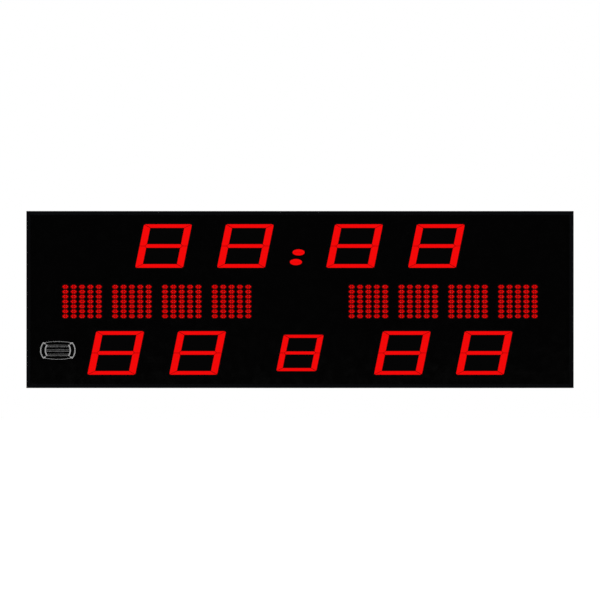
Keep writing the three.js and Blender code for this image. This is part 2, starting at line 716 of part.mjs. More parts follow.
// A length of the profile: each end point moves in by its own distance from the outer edge
function frameLength(halfLength, inward, along) {
  const geometry = new THREE.ExtrudeGeometry(frameProfile(), { depth: halfLength, bevelEnabled: false });
  const place = geometry.attributes.position;
  for (let i = 0; i < place.count; i++) {
    const end = place.getZ(i) > halfLength / 2 ? 1 : -1;
    place.setZ(i, end * (halfLength - place.getX(i) - FIT_GAP));
  }
  const turn = new THREE.Matrix4().makeBasis(inward, new THREE.Vector3(0, 1, 0), along);
  return solidOf(geometry.applyMatrix4(turn));
}

// Where a latch turns: beside its strike, and just behind the strike's lip
const strikeFront = frameBack - STRIKE_REACH;
const latchY = strikeFront + TRAY_WALL + LATCH_CLEARANCE + BLADE_WIDTH / 2;
const latchOffset = STRIKE_WIDTH / 2 + STRIKE_CLEARANCE + LATCH_SHAFT_RADIUS;

// A round bar that stands upright from one height to another
function post(radius, [z0, z1], sides) {
  const cylinder = new THREE.CylinderGeometry(radius, radius, z1 - z0, sides).rotateX(Math.PI / 2);
  return solidOf(cylinder.translate(0, 0, (z0 + z1) / 2));
}

// A latch about its shaft, from the frame's bottom face upwards, with its blade towards the wall
function latchSolid() {
  const bladeBottom = TRAY_INSET + TRAY_WALL + BLADE_RISE;
  const bladeTop = bladeBottom + BLADE_THICKNESS;
  const collarBottom = FRAME_WALL + FIT_GAP;
  const slotLength = 2 * (LATCH_SHAFT_RADIUS + CUT_OVERRUN);
  const slot = block(about(0, TOOL_SLOT_WIDTH), about(0, slotLength), [-CUT_OVERRUN, TOOL_SLOT_DEPTH]);
  return post(LATCH_SHAFT_RADIUS, [0, bladeTop], LATCH_SIDES)
    .add(post(LATCH_COLLAR_RADIUS, [collarBottom, collarBottom + LATCH_COLLAR_HEIGHT], LATCH_SIDES))
    .add(block(about(0, BLADE_WIDTH), [0, BLADE_REACH], [bladeBottom, bladeTop]))
    .subtract(slot);
}

function addFrame() {
  const right = new THREE.Vector3(1, 0, 0);
  const left = right.clone().negate();
  const up = new THREE.Vector3(0, 0, 1);
  const down = up.clone().negate();
  const middle = boardTop - boardHeight / 2;
  let bottom = frameLength(halfWidth, up, left).translate(0, frameFront, boardBottom);
  const latch = geometryOf(latchSolid());
  for (const [name, side] of [
    ["left_latch", -1],
    ["right_latch", 1],
  ]) {
    const latchX = side * LATCH_X + latchOffset;
    const notch = block(
      about(side * LATCH_X, STRIKE_WIDTH + 2 * STRIKE_CLEARANCE),
      [frameBack - FRAME_WALL - CUT_OVERRUN, frameBack + CUT_OVERRUN],
      [boardBottom + FRAME_WALL, boardBottom + FRAME_REAR_FLANGE + CUT_OVERRUN],
    );
    const hole = post(LATCH_SHAFT_RADIUS + FIT_GAP, [-CUT_OVERRUN, FRAME_WALL + CUT_OVERRUN], LATCH_SIDES);
    bottom = bottom.subtract(notch).subtract(hole.translate(latchX, latchY, boardBottom));
    add(front, name, latch, plainSteel, latchX, latchY, boardBottom);
  }
  add(front, "frame_bottom", bottom, blackAnodised);
  add(front, "frame_top", frameLength(halfWidth, down, right), blackAnodised, 0, frameFront, boardTop);
  const side = boardHeight / 2;
  add(front, "frame_left", frameLength(side, right, up), blackAnodised, -halfWidth, frameFront, middle);
  add(front, "frame_right", frameLength(side, left, down), blackAnodised, halfWidth, frameFront, middle);
}

// Hinge: two leaves in the gap between frame and tray, with knuckles on a common pin
const hingeY = frameBack + FIT_GAP + BARREL_RADIUS;
const hingeZ = trayTop + FIT_GAP + BARREL_RADIUS;
const knuckleLength = HINGE_LENGTH / HINGE_KNUCKLES;

function hingeLeaf(first, leafFront) {
  const leafTop = trayTop - FIT_GAP;
  const leafBottom = leafTop - LEAF_WIDTH;
  const span = [-HINGE_LENGTH / 2, HINGE_LENGTH / 2];
  const depth = [leafFront, leafFront + LEAF_THICKNESS];
  let leaf = block(span, depth, [leafBottom, leafTop]);
  for (let i = first; i < HINGE_KNUCKLES; i += 2) {
    const middle = -HINGE_LENGTH / 2 + (i + 0.5) * knuckleLength;
    const length = knuckleLength - KNUCKLE_GAP;
    const tab = block(about(middle, length), depth, [leafTop - CUT_OVERRUN, hingeZ]);
    const barrel = bar(BARREL_RADIUS, length, BARREL_SIDES, "x").translate(middle, hingeY, hingeZ);
    leaf = leaf.add(tab).add(barrel);
  }
  const bore = bar(BARREL_BORE, HINGE_LENGTH + 2 * CUT_OVERRUN, BARREL_SIDES, "x");
  return leaf.subtract(bore.translate(0, hingeY, hingeZ));
}

function addHinge() {
  const pin = bar(PIN_RADIUS, HINGE_LENGTH, BARREL_SIDES, "x");
  const trayLeafFront = trayFront - FIT_GAP - LEAF_THICKNESS;
  add(front, "hinge_front_leaf", hingeLeaf(0, frameBack + FIT_GAP), plainSteel);
  add(cabinet, "hinge_tray_leaf", hingeLeaf(1, trayLeafFront), plainSteel);
  add(cabinet, "hinge_pin", pin, plainSteel, 0, hingeY, hingeZ);
}

// Tray: five folded walls, a return flange, vents, fixing slots and the holes for the connections
const supplyZ = boardBottom + SUPPLY_RISE;
const wallY = (trayFront + trayBack) / 2; // the connections stand on this line
const lowerChannelZ = boardBottom + CHANNEL_INSET;
const fixingPitch = (CHANNEL_LENGTH - 2 * FIXING_END) / (FIXING_SLOTS - 1);

// A slot with round ends, as an outline about its middle
function slotOutline(length, width) {
  const radius = width / 2;
  const straight = length / 2 - radius;
  const shape = new THREE.Shape();
  shape.absarc(straight, 0, radius, -Math.PI / 2, Math.PI / 2);
  shape.absarc(-straight, 0, radius, Math.PI / 2, (3 * Math.PI) / 2);
  return shape;
}

function fixingSlots(yFront, yBack, z) {
  const outline = slotOutline(FIXING_SLOT_LENGTH, FIXING_SLOT_WIDTH);
  const slot = prism(outline, yFront - CUT_OVERRUN, yBack + CUT_OVERRUN, SLOT_END_STEPS);
  const slots = [];
  for (let i = 0; i < FIXING_SLOTS; i++) {
    slots.push(slot.translate((i - (FIXING_SLOTS - 1) / 2) * fixingPitch, 0, z));
  }
  return slots;
}

function traySolid() {
  const inner = trayHalfWidth - TRAY_WALL;
  const mouth = trayHalfWidth - TRAY_FLANGE;
  let tray = block([-trayHalfWidth, trayHalfWidth], [trayFront, trayBack], [trayBottom, trayTop]);
  const cuts = [
    block(
      [-inner, inner],
      [trayFront + TRAY_WALL, trayBack - TRAY_WALL],
      [trayBottom + TRAY_WALL, trayTop - TRAY_WALL],
    ),
    block(
      [-mouth, mouth],
      [trayFront - CUT_OVERRUN, trayFront + 2 * TRAY_WALL],
      [trayBottom + TRAY_FLANGE, trayTop - TRAY_FLANGE],
    ),
    ...fixingSlots(trayBack - TRAY_WALL, trayBack, 0),
    ...fixingSlots(trayBack - TRAY_WALL, trayBack, lowerChannelZ),
  ];
  const ventCut = TRAY_WALL / 2 + CUT_OVERRUN;
  const vent = prism(slotOutline(VENT_LENGTH, VENT_WIDTH), -ventCut, ventCut, SLOT_END_STEPS);
  const levelVent = vent.rotate([90, 0, 0]); // from the face into the top and bottom walls
  for (const side of [-1, 1]) {
    for (let i = 0; i < VENTS_IN_GROUP; i++) {
      const x = side * VENT_GROUP_X + (i - (VENTS_IN_GROUP - 1) / 2) * VENT_PITCH;
      for (const z of [trayTop - TRAY_WALL / 2, trayBottom + TRAY_WALL / 2]) {
        cuts.push(levelVent.translate(x, wallY, z));
      }
    }
  }
  for (const cut of cuts) tray = tray.subtract(cut);
  const through = [trayHalfWidth - TRAY_WALL - CUT_OVERRUN, trayHalfWidth + CUT_OVERRUN];
  for (const [[sizeY, sizeZ], rise] of [
    [SWITCH_BODY, SWITCH_RISE],
    [INLET_BODY, INLET_RISE],
  ]) {
    const hole = block(
      through,
      about(wallY, sizeY + 2 * FIT_GAP),
      about(boardBottom + rise, sizeZ + 2 * FIT_GAP),
    );
    tray = tray.subtract(hole);
  }
  for (const [radius, rise] of [
    [SOCKET_BODY_RADIUS, SOCKET_RISE],
    [KNOB_SHAFT_RADIUS, KNOB_RISE],
  ]) {
    const hole = bar(radius + FIT_GAP, through[1] - through[0], ROUND_SIDES, "x");
    tray = tray.subtract(hole.translate(trayHalfWidth - TRAY_WALL / 2, wallY, boardBottom + rise));
  }
  return tray;
}

function addTray() {
  add(cabinet, "rear_tray", traySolid(), blackPaint);
  const outer = halfWidth - SEAL_INSET;
  const inner = outer - SEAL_WIDTH;
  const low = boardBottom + SEAL_INSET;
  const high = boardTop - SEAL_TOP_DROP;
  const seal = polygon([
    [-outer, low],
    [outer, low],
    [outer, high],
    [inner, high],
    [inner, low + SEAL_WIDTH],
    [-inner, low + SEAL_WIDTH],
    [-inner, high],
    [-outer, high],
  ]);
  add(cabinet, "front_seal", prism(seal, frameBack + FIT_GAP, trayFront - FIT_GAP), sealRubber);
}

// Strikes: angle pieces under the tray's bottom wall, with the lips that the latches hook behind
function addStrikes() {
  const width = about(0, STRIKE_WIDTH);
  const bottom = -FIT_GAP - TRAY_WALL;
  const plate = block(width, [strikeFront, trayFront + STRIKE_SEAT], [bottom, -FIT_GAP]);
  const lip = block(width, [strikeFront, strikeFront + TRAY_WALL], [bottom, STRIKE_LIP_HEIGHT - FIT_GAP]);
  const strike = geometryOf(plate.add(lip));
  add(cabinet, "left_strike", strike, plainSteel, -LATCH_X, 0, trayBottom);
  add(cabinet, "right_strike", strike, plainSteel, LATCH_X, 0, trayBottom);
}

// Wall channels: the hat section's flanges lie on the tray, its face on the wall
function wallChannel(z) {
  const half = CHANNEL_FACE / 2;
  const foot = half + CHANNEL_FLANGE;
  const span = [-CHANNEL_LENGTH / 2, CHANNEL_LENGTH / 2];
  const front = -CHANNEL_DEPTH;
  const inside = [front - CUT_OVERRUN, -CHANNEL_WALL];
  const hollow = half - CHANNEL_WALL;
  let channel = block(span, [front, 0], [z - half, z + half])
    .add(block(span, [front, front + CHANNEL_WALL], [z - foot, z + foot]))
    .subtract(block([2 * span[0], 2 * span[1]], inside, [z - hollow, z + hollow]));
  for (const slot of fixingSlots(-CHANNEL_WALL, 0, z)) channel = channel.subtract(slot);
  return channel;
}

function addWallChannels() {
  add(cabinet, "upper_wall_channel", wallChannel(0), galvanised);
  add(cabinet, "lower_wall_channel", wallChannel(lowerChannelZ), galvanised);
}

// Power supply and controller, seated on the tray's back
function addElectronics() {
  const seat = trayBack - TRAY_WALL - FIT_GAP;
  const [width, depth, height] = SUPPLY_SIZE;
  const inside = [seat - depth + SUPPLY_WALL, seat + CUT_OVERRUN];
  const supply = block(about(SUPPLY_X, width), [seat - depth, seat], about(supplyZ, height)).subtract(
    block(about(SUPPLY_X, width - 2 * SUPPLY_WALL), inside, about(supplyZ, height - 2 * SUPPLY_WALL)),
  );
  add(cabinet, "power_supply", supply, galvanised);

  const [boardX, boardY, boardZ] = CONTROLLER_SIZE;
  let controller = block(
    about(0, boardX),
    [seat - STANDOFF_HEIGHT - boardY, seat - STANDOFF_HEIGHT],
    about(0, boardZ),
  );
  for (const sx of [-1, 1]) {
    for (const sz of [-1, 1]) {
      const leg = bar(STANDOFF_RADIUS, STANDOFF_HEIGHT + boardY / 2, STANDOFF_SIDES);
      const x = sx * (boardX / 2 - STANDOFF_INSET);
      const z = sz * (boardZ / 2 - STANDOFF_INSET);
      controller = controller.add(leg.translate(x, seat - (STANDOFF_HEIGHT + boardY / 2) / 2, z));
    }
  }
  add(cabinet, "controller_board", controller, circuitGreen, 0, 0, boardBottom + CONTROLLER_RISE);
}

// Connections in the right wall: pieces are made about the wall's outer face, X outwards
function addSwitch() {
  const bezelFace = FIT_GAP + BEZEL_THICKNESS;
  const [bezelY, bezelZ] = SWITCH_BEZEL;
  const [bodyY, bodyZ] = SWITCH_BODY;
  const wellY = bodyY - 2 * ROCKER_CLEARANCE;
  const wellZ = 2 * (ROCKER_RADIUS + ROCKER_CLEARANCE);
  const well = block([bezelFace - ROCKER_WELL, bezelFace + CUT_OVERRUN], about(0, wellY), about(0, wellZ));
  const bezel = block([FIT_GAP, bezelFace], about(0, bezelY), about(0, bezelZ))
    .add(block([-SWITCH_DEPTH, bezelFace], about(0, bodyY), about(0, bodyZ)))
    .subtract(well);
  const z = boardBottom + SWITCH_RISE;
  add(cabinet, "power_switch_body", bezel, blackPlastic, trayHalfWidth, wallY, z);

  // The rocker's ends are arcs about its pivot, and its two pads meet in a shallow valley.
  // Its profile is drawn with the outward direction first and the upward one second.
  const throwAngle = THREE.MathUtils.degToRad(ROCKER_THROW);
  const lowest = -THREE.MathUtils.degToRad(ROCKER_SKIRT);
  const highest = Math.asin(ROCKER_PIVOT_DEPTH / ROCKER_RADIUS) + throwAngle;
  const arc = [];
  for (let i = 0; i <= ROCKER_ARC_STEPS; i++) {
    const turn = lowest + ((highest - lowest) * i) / ROCKER_ARC_STEPS;
    arc.push([ROCKER_RADIUS * Math.sin(turn), ROCKER_RADIUS * Math.cos(turn)]);
  }
  const mirrored = arc.map(([out, up]) => [out, -up]).reverse();
  const thickness = wellY - 2 * ROCKER_CLEARANCE;
  const profile = polygon([...arc, [ROCKER_PIVOT_DEPTH, 0], ...mirrored]);
  const rocker = prism(profile, -thickness / 2, thickness / 2);
  const pivotX = trayHalfWidth + bezelFace - ROCKER_PIVOT_DEPTH;
  add(cabinet, "power_rocker", rocker, rockerPlastic, pivotX, wallY, z).rotation.y = throwAngle;
}

function addInlet() {
  const z = boardBottom + INLET_RISE;
  const face = FIT_GAP + INLET_FLANGE_THICKNESS;
  const [flangeY, flangeZ] = INLET_FLANGE;
  const [bodyY, bodyZ] = INLET_BODY;
  const [cavityY, cavityZ] = PLUG_CAVITY;
  const [drawerY, drawerZ] = DRAWER_SIZE;
  const cavity = block(
    [face - PLUG_CAVITY_DEPTH, face + CUT_OVERRUN],
    about(0, cavityY),
    about(-PLUG_CAVITY_DROP, cavityZ),
  );
  const drawerWell = block(
    [face - DRAWER_DEPTH - FIT_GAP, face + CUT_OVERRUN],
    about(0, drawerY + 2 * FIT_GAP),
    about(DRAWER_RISE, drawerZ + 2 * FIT_GAP),
  );
  const inlet = block([FIT_GAP, face], about(0, flangeY), about(0, flangeZ))
    .add(block([-INLET_DEPTH, face], about(0, bodyY), about(0, bodyZ)))
    .subtract(cavity)
    .subtract(drawerWell);
  add(cabinet, "mains_inlet", inlet, blackPlastic, trayHalfWidth, wallY, z);
  const drawer = block(
    [face - DRAWER_DEPTH, face + DRAWER_PROUD],
    about(0, drawerY),
    about(0, drawerZ),
  );
  add(cabinet, "fuse_drawer", drawer, blackPlastic, trayHalfWidth, wallY, z + DRAWER_RISE);
}

// A round bar that stands out from the wall, from one distance to another
function stud(radius, [x0, x1], sides) {
  return bar(radius, x1 - x0, sides, "x").translate((x0 + x1) / 2, 0, 0);
}

function addSocketAndKnob() {
  const flangeFace = FIT_GAP + SOCKET_FLANGE_THICKNESS;
  const cavity = [flangeFace - SOCKET_CAVITY_DEPTH, flangeFace + CUT_OVERRUN];
  const socket = stud(SOCKET_FLANGE_RADIUS, [FIT_GAP, flangeFace], ROUND_SIDES)
    .add(stud(SOCKET_BODY_RADIUS, [-SOCKET_DEPTH, flangeFace], ROUND_SIDES))
    .subtract(stud(SOCKET_CAVITY_RADIUS, cavity, ROUND_SIDES));
  add(cabinet, "data_socket", socket, blackPlastic, trayHalfWidth, wallY, boardBottom + SOCKET_RISE);

  const knob = stud(KNOB_RADIUS, [FIT_GAP, FIT_GAP + KNOB_HEIGHT], ROUND_SIDES).add(
    stud(KNOB_SHAFT_RADIUS, [-KNOB_SHAFT_LENGTH, FIT_GAP + KNOB_HEIGHT / 2], ROUND_SIDES),
  );
  add(cabinet, "volume_knob", knob, blackPlastic, trayHalfWidth, wallY, boardBottom + KNOB_RISE);
}

addFrame();
addFacePanel();
addDigits();
addColon();
addNames();
addDigitBoards();
addHorn();
addHinge();
addTray();
addStrikes();
addWallChannels();
addElectronics();
addSwitch();
addInlet();
addSocketAndKnob();

const scoreboard = new THREE.Group();
scoreboard.add(front, cabinet);

export default scoreboard;
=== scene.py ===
"""The looks of a wall-hung electronic scoreboard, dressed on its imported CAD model."""
import math

import bmesh
import bpy
from bmesh.types import BMFace, BMVert
from mathutils import Matrix, Vector


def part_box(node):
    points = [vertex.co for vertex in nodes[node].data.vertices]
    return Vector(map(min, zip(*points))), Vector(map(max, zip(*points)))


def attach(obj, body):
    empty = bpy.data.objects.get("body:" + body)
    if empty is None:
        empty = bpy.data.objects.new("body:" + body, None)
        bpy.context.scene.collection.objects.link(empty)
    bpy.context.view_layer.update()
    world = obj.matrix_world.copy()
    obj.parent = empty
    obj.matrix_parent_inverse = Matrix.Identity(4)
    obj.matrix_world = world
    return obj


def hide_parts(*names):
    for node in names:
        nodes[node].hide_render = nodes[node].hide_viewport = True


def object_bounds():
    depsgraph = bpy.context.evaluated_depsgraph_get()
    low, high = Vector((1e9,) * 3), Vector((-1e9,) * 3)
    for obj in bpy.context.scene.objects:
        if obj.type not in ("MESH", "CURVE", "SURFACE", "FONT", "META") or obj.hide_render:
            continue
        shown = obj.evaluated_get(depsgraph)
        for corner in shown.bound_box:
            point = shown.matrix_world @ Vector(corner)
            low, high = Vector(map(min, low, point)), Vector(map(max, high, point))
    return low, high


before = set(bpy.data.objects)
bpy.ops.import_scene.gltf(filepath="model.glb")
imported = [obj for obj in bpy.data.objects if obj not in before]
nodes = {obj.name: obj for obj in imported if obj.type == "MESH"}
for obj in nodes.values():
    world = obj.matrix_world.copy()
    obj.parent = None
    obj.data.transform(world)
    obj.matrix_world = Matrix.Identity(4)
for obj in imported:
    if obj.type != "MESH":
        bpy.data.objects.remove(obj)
cad_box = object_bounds()
scene = bpy.context.scene

# The camera stands square to the board's front, 7.7 m off, so that the front shows flat.
# The 600 pixels of the picture take in 2.762 m at the board's face.
view_width, view_middle = 2.762, -0.2896
lens = bpy.data.cameras.new("camera")
lens.lens, lens.sensor_width, lens.clip_end = 100, 36, 60
camera = bpy.data.objects.new("camera", lens)
camera.location = (0, cad_box[0].y - view_width * lens.lens / lens.sensor_width, view_middle)
camera.rotation_euler = (math.radians(90), 0, 0)
scene.collection.objects.link(camera)
scene.camera = camera
scene.view_settings.view_transform = "Standard"


# The stage is a pale studio floor, 1.3 m below the board, as if the board hung at its usual height.
# The camera sees a white room. The glossy front looks out into the dim part of the studio.
# From below, the floor is clear.
def linear(code):
    """An sRGB hex colour as the linear values that a shader takes."""
    channels = [int(code[i : i + 2], 16) / 255 for i in (0, 2, 4)]
    return (*[c / 12.92 if c <= 0.04045 else ((c + 0.055) / 1.055) ** 2.4 for c in channels], 1)


def add_node(tree, kind, inputs=None, **settings):
    """Adds a shader node. An input is a value, or the output that is linked to it."""
    made = tree.nodes.new("ShaderNode" + kind)
    for name, value in settings.items():
        setattr(made, name, value)
    for name, value in (inputs or {}).items():
        if isinstance(value, bpy.types.NodeSocket):
            tree.links.new(value, made.inputs[name])
        else:
            made.inputs[name].default_value = value
    return made


def feed(node, sources):
    """Links the first output of other nodes into a node's inputs."""
    for name, source in sources.items():
        node.id_data.links.new(source.outputs[0], node.inputs[name])


room = bpy.data.worlds.new("studio_room")
room.use_nodes = True
tree = room.node_tree
rays = add_node(tree, "LightPath").outputs
toward = add_node(tree, "TexCoord").outputs["Generated"]
depth = add_node(tree, "SeparateXYZ", {0: toward}).outputs["Y"]
dimmer = add_node(tree, "MapRange", {
    "Value": depth, "From Min": -1, "From Max": 0.3, "To Min": 0.04}, interpolation_type="SMOOTHSTEP")
white, room_light = (1, 1, 1, 1), 0.55
diffuse, reflected, backdrop = (
    add_node(tree, "Background", {"Color": white, "Strength": strength}).outputs[0]
    for strength in (room_light, dimmer.outputs[0], 1))
lit = add_node(tree, "MixShader", {0: rays["Is Glossy Ray"], 1: diffuse, 2: reflected})
through = add_node(tree, "Math", {0: rays["Is Camera Ray"], 1: rays["Is Transmission Ray"]},
                   operation="MAXIMUM")
seen = add_node(tree, "MixShader", {0: through.outputs[0], 1: lit.outputs[0], 2: backdrop})
feed(tree.nodes["World Output"], {"Surface": seen})
scene.world = room

floor_paint = bpy.data.materials.new("pale_studio_floor")
floor_paint.use_nodes = True
tree = floor_paint.node_tree
skin = tree.nodes["Principled BSDF"]
skin.inputs["Base Color"].default_value = linear("ebebeb")
skin.inputs["Roughness"].default_value = 0.9
skin.inputs["Emission Color"].default_value = white
rays = add_node(tree, "LightPath").outputs
lift = add_node(tree, "Math", {0: rays["Is Camera Ray"], 1: room_light}, operation="MULTIPLY")
feed(skin, {"Emission Strength": lift})
underside = add_node(tree, "NewGeometry").outputs["Backfacing"]
clear = add_node(tree, "BsdfTransparent").outputs[0]
one_way = add_node(tree, "MixShader", {0: underside, 1: skin.outputs[0], 2: clear})
feed(tree.nodes["Material Output"], {"Surface": one_way})
floor_mesh = bpy.data.meshes.new("studio_floor")
floor_level, floor_half = -2, 16
form = bmesh.new()
bmesh.ops.create_grid(form, x_segments=2, y_segments=2, size=floor_half,
                      matrix=Matrix.Translation((0, 0, floor_level)))
form.to_mesh(floor_mesh)
form.free()
floor_mesh.materials.append(floor_paint)
floor = bpy.data.objects.new("studio_floor", floor_mesh)
scene.collection.objects.link(floor)

for name, place, size, power in [
    ("key_softbox", (-3.2, -5.0, 3.6), 2.6, 190),
    ("fill_softbox", (3.8, -4.6, 2.6), 2.6, 110),
    ("rear_softbox", (1.0, 4.5, 3.4), 2.6, 130),
]:
    lamp = bpy.data.lights.new(name, "AREA")
    lamp.size, lamp.energy = size, power
    softbox = bpy.data.objects.new(name, lamp)
    softbox.location = place
    softbox.rotation_euler = (Vector((0, 0, -0.3)) - Vector(place)).to_track_quat("-Z", "Y").to_euler()
    scene.collection.objects.link(softbox)


# Front frame: four mitred lengths of extruded aluminium, black anodised, held by corner keys.
# The die leaves hair lines along each length, and the anodising is satin, nearly black.
def start_material(name, sockets):
    """A new material with its even values, its tree, its surface and the place on the object."""
    made = bpy.data.materials.new(name)
    made.use_nodes = True
    surface = made.node_tree.nodes["Principled BSDF"]
    for socket, value in sockets.items():
        surface.inputs[socket].default_value = value
    return made, made.node_tree, surface, add_node(made.node_tree, "TexCoord").outputs["Object"]


def round_off(form, edges, radius, steps):
    """Bevels edges, and returns what the operator made."""
    return bmesh.ops.bevel(form, geom=list(edges), offset=radius, segments=steps, profile=0.5, affect="EDGES",
                           clamp_overlap=True, material=-1)


def softened(node, radius, steps=2, wanted=lambda e: True):
    """A CAD node's mesh in millimetres, welded, with its sharp edges rounded. Its flat faces stay flat."""
    slight, strong = math.radians(1), math.radians(30)
    form = bmesh.new()
    form.from_mesh(nodes[node].data)
    bmesh.ops.scale(form, vec=(1000, 1000, 1000), verts=form.verts)
    bmesh.ops.remove_doubles(form, verts=form.verts, dist=0.01)
    bmesh.ops.dissolve_limit(form, angle_limit=slight, verts=form.verts, edges=form.edges)
    bends = {e: e.calc_face_angle() for e in form.edges if e.is_manifold}
    curved = {e for e, bend in bends.items() if slight < bend < strong}
    flats = [(face.normal.copy(), face.verts[0].co.copy())
             for face in form.faces if curved.isdisjoint(face.edges)]
    round_off(form, [e for e, bend in bends.items() if bend > strong and wanted(e)], radius, steps)
    for face in form.faces:
        corner = face.verts[0].co
        face.smooth = not any(normal.dot(face.normal) > 0.9999 and abs(normal.dot(corner - point)) < 0.01
                              for normal, point in flats)
    return form


def finish_piece(form, name, body, materials, replaced=()):
    """Turns a bmesh drawn in millimetres into a piece that rides on a body."""
    bmesh.ops.scale(form, vec=(0.001, 0.001, 0.001), verts=form.verts)
    mesh = bpy.data.meshes.new(name)
    rounded = [face.smooth for face in form.faces]
    form.to_mesh(mesh)
    form.free()
    mesh.set_sharp_from_angle(angle=math.radians(50))
    if any(rounded):
        mesh.polygons.foreach_set("use_smooth", rounded)
    for made in materials if isinstance(materials, list) else [materials]:
        mesh.materials.append(made)
    piece = bpy.data.objects.new(name, mesh)
    scene.collection.objects.link(piece)
    flat_faces = piece.modifiers.new("flat_faces_stay_flat", "WEIGHTED_NORMAL")
    flat_faces.keep_sharp, flat_faces.weight = True, 100
    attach(piece, body)
    if replaced:
        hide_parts(*replaced)


def finish_node(node, radius, ending, body, made):
    """A piece that takes the place of a CAD node, with its edges rounded."""
    finish_piece(softened(node, radius), node + ending, body, made, [node])


for direction, stretch, lengths in [
    ("level", (3, 1400, 1400), ("frame_top", "frame_bottom")),
    ("upright", (1400, 1400, 3), ("frame_left", "frame_right")),
]:
    anodised, tree, skin, where = start_material("black_anodised_aluminium_" + direction, {
        "Base Color": linear("121315"), "Metallic": 1, "Roughness": 0.4})
    along = add_node(tree, "Mapping", {"Vector": where, "Scale": stretch}).outputs[0]
    die_lines = add_node(tree, "TexNoise", {"Vector": along, "Scale": 1, "Detail": 3}).outputs["Fac"]
    gloss = add_node(tree, "MapRange", {"Value": die_lines, "To Min": 0.3, "To Max": 0.46})
    relief = add_node(tree, "Bump", {"Height": die_lines, "Strength": 0.1, "Distance": 0.0001})
    feed(skin, {"Roughness": gloss, "Normal": relief})
    for length in lengths:
        finish_node(length, 0.5, "_extrusion", "front", anodised)


# Frame screws: two countersunk stainless screws a corner, through the frame's sides into the corner keys.
# Their heads have a round driving socket and stand a hair above the anodising.
def stamp(form, pattern, place):
    """Adds a copy of a small mesh at a place."""
    copy = pattern.copy()
    copy.transform(place)
    form.from_mesh(copy)
    bpy.data.meshes.remove(copy)


def turned(outline, sides, material=0):
    """A small mesh turned about the Z axis from points of radius and height."""
    part = bmesh.new()
    points = [part.verts.new((radius, 0, height)) for radius, height in outline]
    edges = [part.edges.new(pair) for pair in zip(points, points[1:])]
    bmesh.ops.spin(part, geom=points + edges, cent=(0, 0, 0), axis=(0, 0, 1), angle=math.tau, steps=sides,
                   use_merge=True)
    bmesh.ops.remove_doubles(part, verts=part.verts, dist=0.001)
    bmesh.ops.recalc_face_normals(part, faces=part.faces)
    for face in part.faces:
        face.material_index = material
    mesh = bpy.data.meshes.new("turned_shape")
    part.to_mesh(mesh)
    part.free()
    return mesh


def standing(place, outward):
    """A place whose Z axis points outward from a surface."""
    return Matrix.Translation(place) @ Vector(outward).to_track_quat("Z", "Y").to_matrix().to_4x4()


def grained_material(name, sockets, grain, detail, gloss=None, relief=None):
    """A material whose grain, so many millimetres wide, varies its roughness or raises it by a bump."""
    made, tree, skin, where = start_material(name, sockets)
    noise = add_node(tree, "TexNoise", {"Vector": where, "Scale": 1000 / grain, "Detail": detail})
    if gloss:
        spread = add_node(tree, "MapRange", {
            "Value": noise.outputs["Fac"], "To Min": gloss[0], "To Max": gloss[1]})
        feed(skin, {"Roughness": spread})
    if relief:
        bump = add_node(tree, "Bump", {
            "Height": noise.outputs["Fac"], "Strength": relief[0], "Distance": relief[1]})
        feed(skin, {"Normal": bump})
    return made


def box_of(node):
    """A CAD node's lowest and highest corners in millimetres."""
    return [corner * 1000 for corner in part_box(node)]


stainless = grained_material("stainless_screw_steel", {
    "Base Color": linear("8d8e90"), "Metallic": 1, "Roughness": 0.35}, 2, 3, gloss=(0.25, 0.45))
socket_screw = turned([(0, -2.2), (1.5, -2.2), (1.5, -0.1), (1.7, 0.1), (3.3, 0.25), (3.6, 0), (3.6, -0.6),
                       (0, -3)], 24)
bottom, top = (corner.z * 1000 for corner in cad_box)
low, high = box_of("frame_right")
near_corner, far_from_corner = 9, 31
form = bmesh.new()
for side in (-1, 1):
    for z in (bottom + near_corner, bottom + far_from_corner, top - near_corner, top - far_from_corner):
        stamp(form, socket_screw, standing((side * high.x, (low.y + high.y) / 2, z), (side, 0, 0)))
finish_piece(form, "frame_corner_screws", "front", stainless)


# Face panel: a 3 mm sheet of cast black acrylic, cut out for every digit, letter, dot and the horn.
# It is polished and nearly black, with the faint waves of a cast sheet and a little dust haze.
acrylic, tree, skin, where = start_material("black_cast_acrylic", {
    "Base Color": linear("010101"), "Roughness": 0.1, "IOR": 1.49, "Specular IOR Level": 0.18})
waves = add_node(tree, "TexNoise", {"Vector": where, "Scale": 4, "Detail": 1}).outputs["Fac"]
haze = add_node(tree, "TexNoise", {"Vector": where, "Scale": 30, "Detail": 5}).outputs["Fac"]
gloss = add_node(tree, "MapRange", {
    "Value": haze, "From Min": 0.35, "From Max": 0.75, "To Min": 0.07, "To Max": 0.16})
relief = add_node(tree, "Bump", {"Height": waves, "Strength": 0.3, "Distance": 0.002})
feed(skin, {"Roughness": gloss, "Normal": relief})


def dress(kept_nodes, made):
    """Gives CAD nodes that stay as they are their finish."""
    for name in kept_nodes:
        nodes[name].data.materials.clear()
        nodes[name].data.materials.append(made)


dress(["face_panel"], acrylic)


# Digit housings: blocks of black ABS with seven slots, moulded with a fine spark-eroded texture.
# Each is pushed through its window in the panel and screwed on by the flange behind it.
abs_black = grained_material("black_textured_abs", {
    "Base Color": linear("020202"), "Roughness": 0.36, "IOR": 1.54, "Specular IOR Level": 0.02},
    0.9, 2, gloss=(0.32, 0.48), relief=(0.3, 0.0001))

digits = ["timer_digit_1", "timer_digit_2", "timer_digit_3", "timer_digit_4", "home_digit_1", "home_digit_2",
          "period_digit", "guest_digit_1", "guest_digit_2"]
for digit in digits:
    finish_node(digit + "_housing", 0.4, "_moulding", "front", abs_black)


